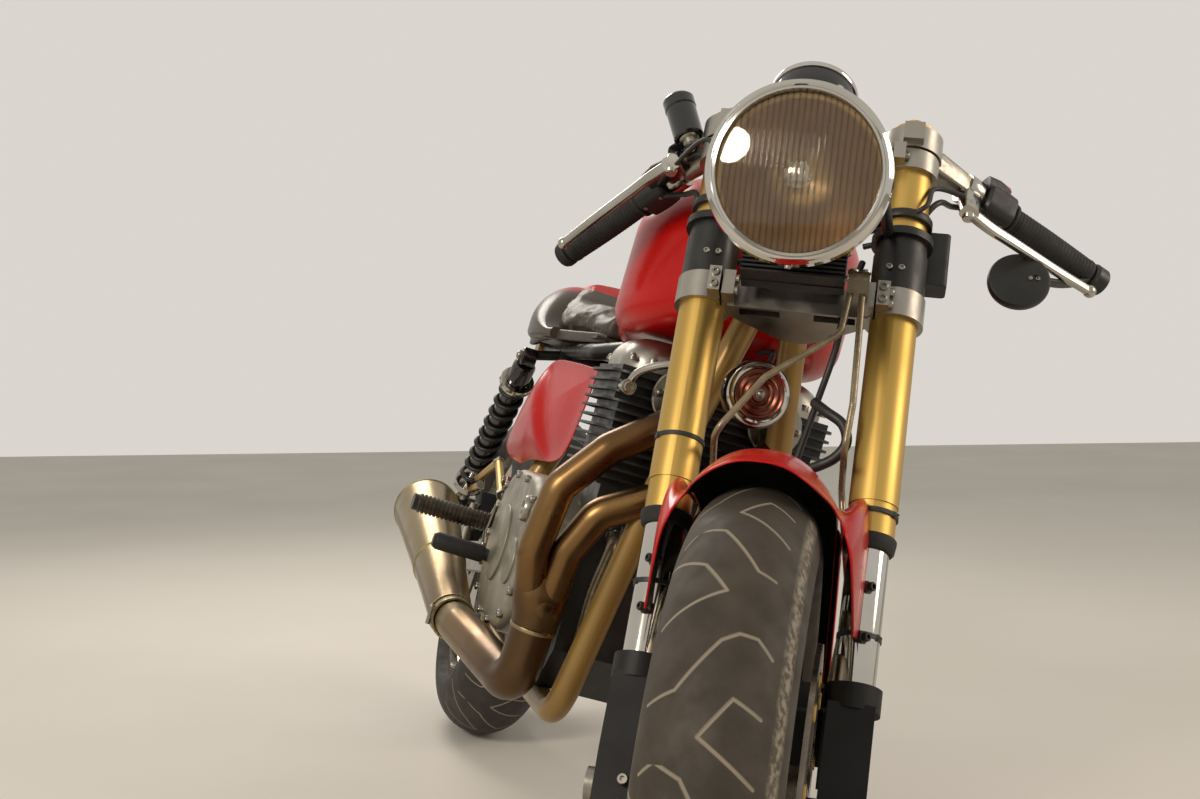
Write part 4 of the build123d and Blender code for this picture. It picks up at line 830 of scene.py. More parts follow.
@dataclass
class Headlight:
    """The lamp's pressed glass, reflector, bulb with its shield, and stepped rim. Sizes in millimetres."""

    radius: float = 88.5
    flute: float = 5.2
    flute_depth: float = 0.9
    inset: float = 9.3
    dome: float = 11.0
    thick: float = 4.5

    def axes(self) -> Axes:
        """Axes at the lamp's middle: x along its beam, y to the rider's left, z up.

        The beam is level when the machine is upright, so it is the chassis' forward turned with the steering.
        """
        return FORK.moved(*LAMP_AT).pitched(RAKE)

    def glass(self, lamp: Axes) -> Surface:
        """A dome whose inner face stands in upright flutes.

        The front is x = 5 + dome * (1 - (r / R)^2). The back lies thick behind it, less
        depth * |sin(pi * y / flute)|, and the flutes fade out over 4 before the rim.
        """
        rim = self.radius - self.inset
        radius = np.linspace(0.0, 1.0, 46)[:, None] * rim
        angle = np.arange(240)[None] * math.tau / 240
        y, z = radius * np.cos(angle), radius * np.sin(angle)
        front = 5 + self.dome * (1 - (radius / rim) ** 2) * np.ones_like(angle)
        inside = np.clip((rim - 6 - radius) / 4, 0, 1)
        wave = np.abs(np.sin(math.pi * y / self.flute)) * self.flute_depth * inside
        back = front - self.thick + wave
        layers = [np.stack([front, y, z], -1), np.stack([back, y, z], -1)[::-1]]
        return grid(lamp.at(np.concatenate(layers)), close_v=True)

    def build(self) -> None:
        """Build the lamp's pieces on the steering."""
        lamp = self.axes()
        beam = lamp.x
        Piece("headlight_glass", FRONT, "lens_glass").add(LAMP_GLASS, self.glass(lamp)).build(
            ["headlight_lens"], crease=60)
        r = self.radius
        bowl = [(-8 - 58 * (1 - (k / 16) ** 2), (r - 10.5) * k / 16) for k in range(17)]
        Piece("headlight_reflector", FRONT, "chrome").add(
            REFLECTOR_PAINTED_REFLECTION, turned(bowl, lamp.origin, beam, 72)).build(thick=0.8, outward=False)
        shield = [(-6, 0), (-6, 9), (-8, 13), (-20, 13.5), (-20, 12.5), (-8, 11.5), (-7, 0)]
        stalk = [rod(lamp.at((-60, s * 12, -9)), lamp.at((-18, s * 12, -9)), 1.1, 8) for s in BOTH]
        Piece("headlight_bulb_shield", FRONT, "chrome").add(
            CHROME, turned(shield, lamp.origin, beam, 32), *stalk).build()
        bulb = [(-60, 0), (-60, 8), (-44, 8), (-44, 6), (-26, 6), (-22, 4), (-21, 0)]
        Piece("headlight_bulb", FRONT, "lens_glass").add(LENS, turned(bulb, lamp.origin, beam, 24)).build()
        step = [(10.2, r - 8.4), (11.6, r - 6.8), (11.2, r - 5.2), (8.4, r - 3.4), (8.0, r - 4.5)]
        lip = [(3, r - 12.5), (9.5, r - 12.2), (11.2, r - 10.8), (10.6, r - 8.4), (7, r - 8.2)]
        Piece("headlight_rim_steps", FRONT, "chrome").add(
            CHROME, turned(step + step[:1], lamp.origin, beam, 96),
            turned(lip + lip[:1], lamp.origin, beam, 96)).build(crease=50)
        screw = bolt(lamp.at((2, 0, -r + 0.5)), -lamp.z, 3.2, 3.0)
        Piece("headlight_rim_screw", FRONT, "steel").add(STEEL, screw).build()


FORK_HALF = 102.0


@dataclass
class Fender:
    """The front fender: a shell over the tyre whose sides flare out and down to a point ahead of each fork leg.

    It is laid out in polar sections about the axle: a point at angle a from the top, y across and radius r is
    r * (sin a * beam + cos a * up) + y * axle. Angles are degrees and lengths millimetres.
    """

    crown_r: float = 333.0
    half: float = 70.0
    drop: float = 47.0
    behind: float = -86.0
    leg: float = -17.0
    wall: float = 2.6
    arch: float = 2.5
    draw: float = 2.1
    # Columns: across, angle of the lip there
    lip: tuple[tuple[float, float], ...] = ((0, 15), (40, 15), (50, 13.9), (58, 11.9), (66, 7.8), (70, 6.0))
    # Columns from the shell outwards: across and radius at the leg, then angle, across and radius at the front edge
    flare: tuple[tuple[float, ...], ...] = (
        (70, 286, 6.0, 70, 286), (76, 293, 5.8, 74, 280), (83, 304, 6.0, 77, 275), (89, 310, 6.8, 79, 270.5),
        (94, 308, 7.6, 81, 266), (97.5, 299, 7.9, 83.5, 260), (99.5, 284, 8.1, 86, 253), (101, 266, 7.9, 88, 245),
        (101.8, 246, 7.7, 89.5, 237), (102, 226, 7.2, 91.5, 223), (101.6, 205, 6.8, 93.3, 209),
        (101, 184, 5.4, 95.5, 190), (100.3, 170, 4.0, 97.5, 172))
    screws: tuple[float, ...] = (222.0, 172.0)

    def polar(self, angle: np.ndarray, y: np.ndarray, radius: np.ndarray) -> np.ndarray:
        """Row points of polar places."""
        a = np.radians(angle)
        return STEERED.at(np.stack([radius * np.sin(a), y * np.ones_like(a), radius * np.cos(a)], -1))

    def shell(self) -> Surface:
        """The crown, whose radius is crown - drop * |y / half|^arch and whose front edge follows the lip."""
        y = self.half * np.sin(np.radians(np.linspace(-90, 90, 45)))[None]
        front = np.interp(np.abs(y), *np.array(self.lip, float).T)
        share = np.linspace(0, 1, 94)[:, None]
        radius = self.crown_r - self.drop * np.abs(y / self.half) ** self.arch
        return grid(self.polar(self.behind + share * (front - self.behind), y, radius * np.ones_like(share)))

    def side(self, side: int) -> Surface:
        """The flare: each column goes from the leg to the front edge, drawn in by the share to the power draw."""
        columns = smooth_line(self.flare, 6)
        share = np.linspace(0, 1, 30)[:, None]
        at_leg, leg_r, front, at_front, front_r = columns.T[:, None]
        angle = self.leg + share * (front - self.leg)
        y = at_leg + (at_front - at_leg) * share ** self.draw
        return grid(self.polar(angle, side * y, leg_r + (front_r - leg_r) * share))

    def skirt(self, side: int) -> Surface:
        """The plain skirt behind the leg."""
        angle = np.linspace(self.behind, self.leg - 5, 40)[:, None]
        y = np.array([70.0, 73.5, 75.5, 76.0, 76.0])[None]
        radius = np.array([286.0, 281.0, 275.0, 268.0, 258.0])[None]
        return grid(self.polar(angle, side * y, radius * np.ones_like(angle)))

    def build(self) -> None:
        """Build the fender, black inside as painted shade under the shell, and its screws on the steering."""
        sheets = [self.shell()] + [make(side) for make in (self.side, self.skirt) for side in BOTH]
        fender = Piece("front_fender_pressed", FRONT, "red_paint").add(RED, *sheets)
        # The second finish, black on the wall's inner face, is painted shade under the fender.
        fender.finishes.append(made(BLACK_SATIN))
        fender.build(["front_fender"], thick=self.wall, crease=60, subdivide=1, lined=True)
        heads = Piece("fender_screws", FRONT, "black_alloy")
        for side in BOTH:
            for s in self.screws:
                heads.add(BLACK_SATIN, bolt(FORK.at((22, side * 106, s)), FORK.way((0.8, side, 0)), 4.6, 6.0),
                          rod(FORK.at((18, side * 98, s)), FORK.at((22, side * 106, s)), 6.0))
        heads.build()


@dataclass
class ForkDress:
    """What is fastened to the fork: pinch bolts, dust seals, ties, caps and the straps of the lamp's sleeves."""

    wiper_s: float = 272.0
    tube_top_s: float = 765.0
    # Rows: side of the leg, up the fork, tube radius in mm
    ties: tuple[tuple[int, float, float], ...] = ((-1, 359, 25.0), (1, 302, 24.6), (-1, 201, 20.5), (1, 176, 20.5))

    def leg(self, side: int, s: float, f: float = 0.0, out: float = 0.0) -> np.ndarray:
        """A point beside one leg's middle line."""
        return FORK.at((f, side * (FORK_HALF + out), s))

    def tie(self, side: int, s: float, radius: float) -> list[Surface]:
        """A flat tie round a tube with its lock block and a short cut end."""
        middle, up = self.leg(side, s), FORK.z
        band = turned([(-2.3, radius), (-2.3, radius + 1.3), (2.3, radius + 1.3), (2.3, radius), (-2.3, radius)],
                      middle, up, 48)
        # Each stub's section, then its ends ahead of the leg and out from it, as shares of the radius
        stubs = ((rounded(6.5, 6.0, 1.0), ((0.5, 0.80), (0.56, 0.90))),
                 (rounded(1.2, 4.0, 0.4), ((0.6, 0.96), (0.62, 1.04))))
        return [band] + [
            carried(section, np.stack([self.leg(side, s, radius * f, radius * out) for f, out in ends]), hint=up)
            for section, ends in stubs]

    def build(self) -> None:
        """Build the fork's fastenings on the steering."""
        seals = Piece("fork_dust_seals", FRONT, "black_alloy")
        rings = Piece("fork_cap_adjusters", FRONT, "steel")
        bolts = Piece("clamp_pinch_bolts", FRONT, "steel")
        ties = Piece("fork_cable_ties", FRONT, "black_plastic")
        straps = Piece("lamp_sleeve_straps", FRONT, "black_alloy")
        seal = [(-9, 20.6), (-9, 23.5), (-7, 25.2), (2, 26.6), (5, 26.6), (6.5, 25.4), (6.5, 24)]
        cap = [(0, 0), (0, 14), (3.2, 14.5), (4, 13), (4, 6), (1.5, 5.4), (1.5, 0)]
        strap = [(0, 25.2), (0, 29.8), (1.2, 30.4), (8, 30.4), (9.2, 29.8), (9.2, 25.2)]
        for side in BOTH:
            seals.add(GRIP, turned(seal, self.leg(side, self.wiper_s), FORK.z, 64))
            top = self.leg(side, self.tube_top_s - 3)
            rings.add(BLACK_GLOSS, turned(cap, top, FORK.z, 48))
            # Heads face the rider's left on both ears
            ear = -67.0 if side < 0 else 95.0
            for s in (527.0, 541.0):
                bolts.add(STEEL, bolt(FORK.at((32, ear, s)), FORK.y, 5.0, 4.2),
                          bolt(FORK.at((44, side * 88, s)), FORK.x, 4.6, 3.0))
            bolts.add(STEEL, bolt(FORK.at((32, ear, 714)), FORK.y, 5.0, 4.2))
            straps.add(BLACK_SATIN, turned(strap, self.leg(side, 640), FORK.z, 64))
            straps.add(STEEL, *[bolt(FORK.at((28, side * y, 575)), FORK.x, 3.4, 2.6) for y in (91, 104)])
        for side, s, radius in self.ties:
            ties.add(MOULDED, *self.tie(side, s, radius))
        for piece in (seals, rings, bolts, ties, straps):
            piece.build()


BAR_S, BAR_L, GRIP_L, BAR_R = 742.0, 270.0, 128.0, 11.1
# Columns by side: degrees swept back, degrees dropped, drop of the lever
BAR_SET = {1: (36.3, 9.2, 1.5), -1: (39.8, 14.8, 0.35)}
# Places along the bar, in millimetres from its root
GRIP_START = BAR_L - GRIP_L
HOUSING_AT, PERCH_AT = GRIP_START - 42, GRIP_START - 56


@dataclass
class Controls:
    """Grips, switches and levers of one bar. Sizes in millimetres along the bar or round it."""

    side: int

    def bar(self, along: float) -> np.ndarray:
        """A point on the bar's middle line, in the fork's own millimetres."""
        sweep, drop, _ = (math.radians(v) for v in BAR_SET[self.side])
        way = np.array([-math.sin(sweep), self.side * math.cos(sweep), -math.sin(drop)])
        return np.array([0, self.side * FORK_HALF, BAR_S]) + way / np.linalg.norm(way) * along

    def on(self, along: float, forward: float = 0.0, up: float = 0.0) -> np.ndarray:
        """A point beside the bar, in row metres."""
        return FORK.at(self.bar(along) + np.array([forward, 0, up]))

    def way(self) -> np.ndarray:
        """The bar's direction, outwards."""
        run = self.on(100) - self.on(0)
        return run / np.linalg.norm(run)

    def grip(self) -> list[Surface]:
        """A rubber sleeve of ribs about the bar between two flanges.

        The radius is 15.2 + 1.1 * |cos(pi * along / pitch)|^0.5 + 0.9 * sin(pi * along / length).
        """
        pitch = 5.0
        along = np.linspace(8, GRIP_L - 6, 230)
        radius = 15.2 + 1.1 * np.abs(np.cos(math.pi * along / pitch)) ** 0.5 + 0.9 * np.sin(math.pi * along / GRIP_L)
        ribs = list(zip(along.tolist(), radius.tolist()))
        profile = [(0.5, BAR_R), (0.5, 18.5), (2.0, 20.0), (5.0, 19.6), (7.0, 17.2)] + ribs
        profile += [(GRIP_L - 4, 16.8), (GRIP_L - 1, 16.4), (GRIP_L, BAR_R)]
        return [turned(profile, self.on(GRIP_START), self.way(), 44)]

    def weight(self) -> Surface:
        """The bar's end weight: a waisted plug with a rounded end."""
        profile = [(0, 0), (0, 12.5), (2, 12.5), (2.5, 15.6), (5, 16.4), (12, 16.6), (15.5, 15.2), (17, 12), (17, 5),
                   (14.5, 4.4),
                   (14.5, 0)]
        return turned(profile, self.on(BAR_L + 0.6), self.way(), 44)

    def housing(self) -> tuple[list[Surface], list[Surface], list[Surface]]:
        """The two-part switch housing, its screws, and its coloured keys."""
        start = HOUSING_AT
        line = np.stack([self.on(start + t) for t in (0, 3, 20, 38, 41)])
        size = np.array([0.86, 1.0, 1.04, 1.0, 0.88])
        body = [carried(rounded(44, 40, 13, 6), line, size, hint=FORK.x)]
        pod = np.stack([self.on(start + 6, 12, 14), self.on(start + 20, 14, 16), self.on(start + 34, 12, 14)])
        body.append(carried(rounded(24, 18, 6), pod, hint=FORK.x))
        metal = [bolt(self.on(start + t, 6, -20.5), -FORK.z, 2.6, 2.0) for t in (8, 33)]
        if self.side > 0:
            beam = np.stack([self.on(t, 6, -2) for t in (24, 34, 70, 84)])
            metal.append(carried(rounded(30, 24, 5), beam, np.array([0.9, 1.0, 0.86, 0.74]), hint=FORK.z))
        rocker = np.stack([self.on(start + 24, 16, 24), self.on(start + 40, 16, 23)])
        keys = [carried(rounded(11, 8, 2.2), rocker, hint=FORK.x)]
        return body, metal, keys

    def lever(self) -> tuple[list[Surface], list[Surface]]:
        """The perch casting with its clamp, and the blade that tapers from its root to a ball."""
        drop = BAR_SET[self.side][2]
        reach = np.array([1.0, 0.0, -drop])
        reach /= np.linalg.norm(reach)
        centre, root = self.bar(PERCH_AT), self.bar(PERCH_AT) + reach * 52
        middle = self.bar(GRIP_START + 6) + reach * 58
        tip = self.bar(BAR_L + 2) + reach * 44
        perch_line = FORK.at(smooth_line([centre + reach * 9, centre + reach * 26, root - reach * 10,
                                          root + reach * 9], 4))
        cast = [carried(rounded(25, 21, 7), perch_line, np.linspace(1.0, 0.82, len(perch_line)), hint=self.way()),
                turned([(-10, BAR_R + 0.2), (-10, 17.2), (-8.5, 18.2), (8.5, 18.2), (10, 17.2), (10, BAR_R + 0.2)],
                       FORK.at(centre), self.way(), 48)]
        cast += [bolt(FORK.at(centre - reach * 16 + np.array([0, 0, z])), -FORK.x, 3.2, 3.5) for z in (-5, 7)]
        pivot = FORK.at(root)
        cast += [turned([(-12, 0), (-12, 6.5), (-10.5, 7.5), (10.5, 7.5), (12, 6.5), (12, 0)], pivot, FORK.z, 24)]
        blade_line = smooth_line([root + reach * 4, 0.5 * (root + middle) + reach * 6, middle,
                                  0.5 * (middle + tip) + reach * 2, tip], 9)
        steps = np.linspace(0, 1, len(blade_line))
        size = np.stack([1.0 - 0.25 * steps, 1.0 - 0.15 * steps], -1)
        blade = [carried(rounded(14.5, 10.5, 3.8), FORK.at(blade_line), size, hint=FORK.z)]
        ball = [(-7.6 * math.cos(a), 7.6 * math.sin(a)) for a in np.linspace(0, math.pi, 15)]
        blade.append(turned(ball, FORK.at(tip), self.way(), 26))
        return cast, blade

    def build_all(self) -> dict[str, list[Surface]]:
        """The side's surfaces by what they are."""
        body, metal, keys = self.housing()
        cast, blade = self.lever()
        return {"grip": self.grip() + [self.weight()], "body": body, "metal": metal, "keys": keys, "cast": cast,
                "blade": blade}


@dataclass
class Cockpit:
    """Both bars' controls, the instrument, the fluid pot's fittings and the mirror."""

    pod: Triple = (45.0, -12.0, 758.0)
    pod_r: float = 48.0
    pod_tilt: float = -14.0
    # The scale's ticks: how many, the first one's angle and the angle from first to last
    ticks: int = 25
    scale_from: float = -310.0
    scale_sweep: float = 260.0
    pot: tuple[Triple, ...] = ((-8.0, -152.0, 744.0), (-8.0, -174.0, 798.0))

    def pod_axes(self) -> Axes:
        """Axes of the tilted instrument: z out of its face."""
        return FORK.moved(*self.pod).pitched(math.radians(self.pod_tilt))

    def instrument(self) -> None:
        """A turned pod with a plated bezel, a domed glass over a dial, ticks and a needle."""
        at, r = self.pod_axes(), self.pod_r
        bowl = [(-21, 0), (-21, 26), (-18, 34), (-8, r - 5), (4, r - 2), (17, r - 1.5), (17, r - 4), (10, r - 6),
                (10, 0)]
        Piece("instrument_case", FRONT, "black_paint").add(
            BLACK_GLOSS, turned(bowl, at.origin, at.z, 72)).build(["instrument_pod"])
        bezel = [(16.5, r - 4.5), (16.5, r), (18.5, r + 1.2), (22, r + 1), (24, r - 1.5), (24, r - 4.5), (22, r - 6),
                 (17, r - 6)]
        dial = [(12, 0), (12, r - 6.2), (11, r - 6.2)]
        glass = [(20, r - 5), (22, r * 0.6), (23, r * 0.3), (23.4, 0), (22, 0), (21.4, r * 0.3), (20.4, r * 0.6),
                 (18.6, r - 5)]
        Piece("instrument_bezel", FRONT, "chrome").add(
            CHROME, turned(bezel + bezel[:1], at.origin, at.z, 72)).build()
        Piece("instrument_glass", FRONT, "lens_glass").add(LENS, turned(glass, at.origin, at.z, 72)).build()
        face = Piece("instrument_dial", FRONT, "black_plastic").add(DIAL, turned(dial, at.origin, at.z, 64))
        for k in range(self.ticks):
            a = math.radians(self.scale_from + self.scale_sweep * k / (self.ticks - 1))
            inner, out, wide = (r - 15, r - 8.5, 1.1) if k % 3 == 0 else (r - 13, r - 9.5, 0.6)
            ends = [at.at((c * math.cos(a), c * math.sin(a), 12.4)) for c in (inner, out)]
            face.add(WHITE_PRINT, carried(rounded(2 * wide, 0.4, 0.1, 1), np.stack(ends), hint=at.z))
        needle = [at.at((-8, -6, 14)), at.at((24, 17, 14))]
        face.add(RED_SWITCH, carried(rounded(0.8, 2.2, 0.2, 1), np.stack(needle), [1.0, 0.3], hint=at.z))
        face.add(MOULDED, turned([(12, 0), (12, 5), (15.5, 4.4), (16, 0)], at.origin, at.z, 24))
        arm = FORK.at(smooth_line([(8, -12, 722), (16, -12, 738), (30, -12, 748)], 5))
        face.add(BLACK_SATIN, carried(rounded(20, 9, 3), arm, hint=FORK.y))
        face.build()

    def fluid_pot(self) -> None:
        """The brake fluid pot, leaning outwards on its neck, with its ribbed cap, hose and cylinder."""
        right = Controls(-1)
        perch = right.bar(PERCH_AT)
        low, top = (np.array(p, float) for p in self.pot)
        way, at = FORK.way(top - low), FORK.at(low)
        high = float(np.linalg.norm(top - low))
        body = [(0, 0), (0, 15.5), (2, 17.6), (high - 17, 17.9), (high - 16, 17.2), (high - 15, 18.6),
                (high - 3, 18.9),
                (high - 0.5, 17.2), (high, 13), (high, 0)]
        Piece("fluid_pot", FRONT, "black_paint").add(BLACK_GLOSS, turned(body, at, way, 56)).build(
            ["brake_reservoir"])
        Piece("fluid_pot_neck", FRONT, "steel").add(
            STEEL, turned([(-12, 0), (-12, 6), (-9, 8.5), (-3, 8.8), (-1.5, 11), (0.5, 12), (0.5, 0)], at, way,
                          36)).build()
        tube_line = smooth_line([low - (top - low) / high * 9, low + [4, 2, -20], perch + [30, 10, 16],
                                 perch + [28, 2, 4]], 10)
        bracket = smooth_line([perch + [18, 0, 4], perch + [26, -6, 20], low + [-4, -4, -4], low + [-4, -4, 10]], 8)
        Piece("fluid_pot_hose", FRONT, "black_plastic").add(
            CABLE, carried(circle(4.6, 14), FORK.at(tube_line))).add(
            BLACK_SATIN, carried(rounded(12, 4, 1.2), FORK.at(bracket), hint=FORK.y)).build()
        barrel = [right.bar(GRIP_START - back) + [24, 0, 0] for back in (70, 16)]
        Piece("brake_master_cylinder", FRONT, "black_alloy").add(
            BLACK_CAST_FOOT, rod(FORK.at(barrel[0]), FORK.at(barrel[1]), 12.5, 32)).add(
            STEEL, bolt(FORK.at(barrel[0]), -right.way(), 8.5, 7, socket=False)).build()

    def mirror(self) -> None:
        """The bar-end mirror: a shallow bowl, silvered glass behind, and its arm with two screws."""
        left = Controls(1)
        root, above = left.bar(BAR_L + 14), left.bar(BAR_L - 104)
        at = np.array([above[0] + 16, above[1], above[2] - 80])
        centre = FORK.at(at)
        bowl = [(5.5, 0), (5.5, 30), (4.5, 33), (2, 34.4), (-3, 34.6), (-5.5, 34), (-5.5, 32.6), (-4, 32.4)]
        arm = FORK.at(smooth_line([root, 0.5 * (root + at) + [4, 6, -6], at + [4, 16, 2]], 8))
        clamp = [(-9, 11.5), (-9, 16), (-7, 17.5), (7, 17.5), (9, 16), (9, 11.5)]
        Piece("mirror_bowl", FRONT, "black_paint").add(
            BLACK_SATIN, turned(bowl, centre, FORK.x, 72), carried(rounded(11, 7, 3), arm, hint=FORK.x),
            turned(clamp, FORK.at(root), left.way(), 40)).build(["mirror"])
        Piece("mirror_glass", FRONT, "chrome").add(
            SILVER_MIRROR, turned([(-3.8, 0), (-3.8, 32.4), (-2.8, 32.4), (-2.8, 0)], centre, FORK.x, 72)).build()
        screws = [bolt(FORK.at(at + np.array([5.5, 12 + dy, 2])), FORK.x, 2.4, 1.8) for dy in (0, 8)]
        Piece("mirror_screws", FRONT, "steel").add(STEEL, *screws).build()

    def cables(self) -> None:
        """Throttle, clutch and switch leads and a brake hose, which stop free near the steering head."""
        # Rows: side, radius, places beside the bar (back from the grip, then off), and the points to the free end
        routes = {
            "throttle_cable": (-1, 2.6, ((20, (16, 0, -8)), (46, (44, 4, -16))),
                               [(70, -118, 690), (40, -92, 655), (-10, -70, 640), (-40, -40, 652)]),
            "brake_lever_hose": (-1, 3.2, ((66, (24, 4, 0)), (92, (36, 8, -16))),
                                 [(40, -76, 672), (34, -66, 600), (40, -52, 560), (46, -20, 551)]),
            "clutch_cable": (1, 2.8, ((60, (40, -4, -34)), (96, (34, -8, -44))),
                             [(30, 122, 652), (8, 88, 640), (-20, 54, 640)]),
            "switch_lead_left": (1, 3.4, ((36, (10, 0, -18)), (70, (2, -6, -30))),
                                 [(0, 134, 676), (-14, 104, 640), (-30, 60, 632)]),
            "switch_lead_right": (-1, 3.4, ((36, (4, 0, -18)), (66, (0, 6, -30))),
                                  [(-6, -132, 668), (-12, -126, 640), (-20, -110, 592), (-30, -60, 600)]),
        }
        for name, (side, radius, beside, points) in routes.items():
            bar = Controls(side).bar
            line = smooth_line([bar(GRIP_START - back) + off for back, off in beside] + points, 12)
            Piece(name, FRONT, "black_plastic").add(CABLE, carried(circle(radius, 12), FORK.at(line))).build()
            log.info("%s: %.0f mm long", name, np.linalg.norm(np.diff(line, axis=0), axis=1).sum())

    def under_lamp(self) -> None:
        """The relay box behind the left tube, the rectifier's screws, the hose unions and two leads below the lamp."""
        box = FORK.at([(-38, 132, 588), (-38, 132, 654)])
        link = FORK.at([(-20, 112, 620), (-36, 128, 620)])
        Piece("relay_box", FRONT, "black_plastic").add(
            MOULDED, carried(rounded(44, 30, 5), box, hint=FORK.y),
            carried(rounded(30, 8, 2), link, hint=FORK.z)).build(bevel=0.8)
        screws = Piece("rectifier_screws", FRONT, "steel")
        for y in (-48, 48):
            for s in (538, 568):
                screws.add(STEEL, bolt(FORK.at((58, y, s)), FORK.x, 3.6, 3.0))
        screws.add(STEEL, *[bolt(FORK.at((54, y, 548)), FORK.z, 6.0, 5.0, socket=False) for y in (56, 68)])
        screws.build()
        loop = smooth_line([(-6, 30, 424), (4, 44, 410), (8, 62, 396), (4, 68, 378), (-2, 58, 362), (-10, 38, 352),
                            (-24, 20, 350)], 10)
        drop = smooth_line([(-10, 62, 600), (0, 50, 540), (0, 45, 484), (-20, 32, 430), (-40, 20, 383),
                            (-56, 8, 330)], 10)
        Piece("steering_leads", FRONT, "black_plastic").add(
            CABLE, carried(circle(5.5, 14), FORK.at(loop)), carried(circle(3.6, 12), FORK.at(drop))).build()

    def build(self) -> None:
        """Build the cockpit on the steering."""
        sides = {side: Controls(side).build_all() for side in BOTH}

        def every(kind: str) -> list[Surface]:
            """Both sides' surfaces of one kind."""
            return [surface for side in BOTH for surface in sides[side][kind]]

        Piece("ribbed_grips", FRONT, "grip_rubber").add(GRIP, *every("grip")).build(["grips"])
        switches = Piece("switch_housings", FRONT, "black_plastic").add(MOULDED, *every("body"))
        switches.add(STEEL, *every("metal")).add(RED_SWITCH, *sides[1]["keys"])
        switches.add(BLACK_SATIN, *sides[-1]["keys"]).build(["switchgear"], bevel=0.8)
        Piece("lever_blades", FRONT, "steel").add(POLISHED, *every("blade"), *every("cast")).build(["levers"])
        self.instrument()
        self.fluid_pot()
        self.mirror()
        self.cables()
        self.under_lamp()


# The engine in the chassis' millimetres: its middle, halves and top, and both side covers
ENGINE_X, BARREL_HALF_L, BARREL_HALF_W, HEAD_TOP = -480.0, 78.0, 147.0, 690.5
SIDE_COVER_Y = 180.0
CLUTCH_X, CLUTCH_Z, CLUTCH_HALF, CLUTCH_SCREW_R = -605, 428, 155.0 - 102.5, 94.0
ALTERNATOR_X, ALTERNATOR_Z, ALTERNATOR_SCREW_R = -545, 405, 77


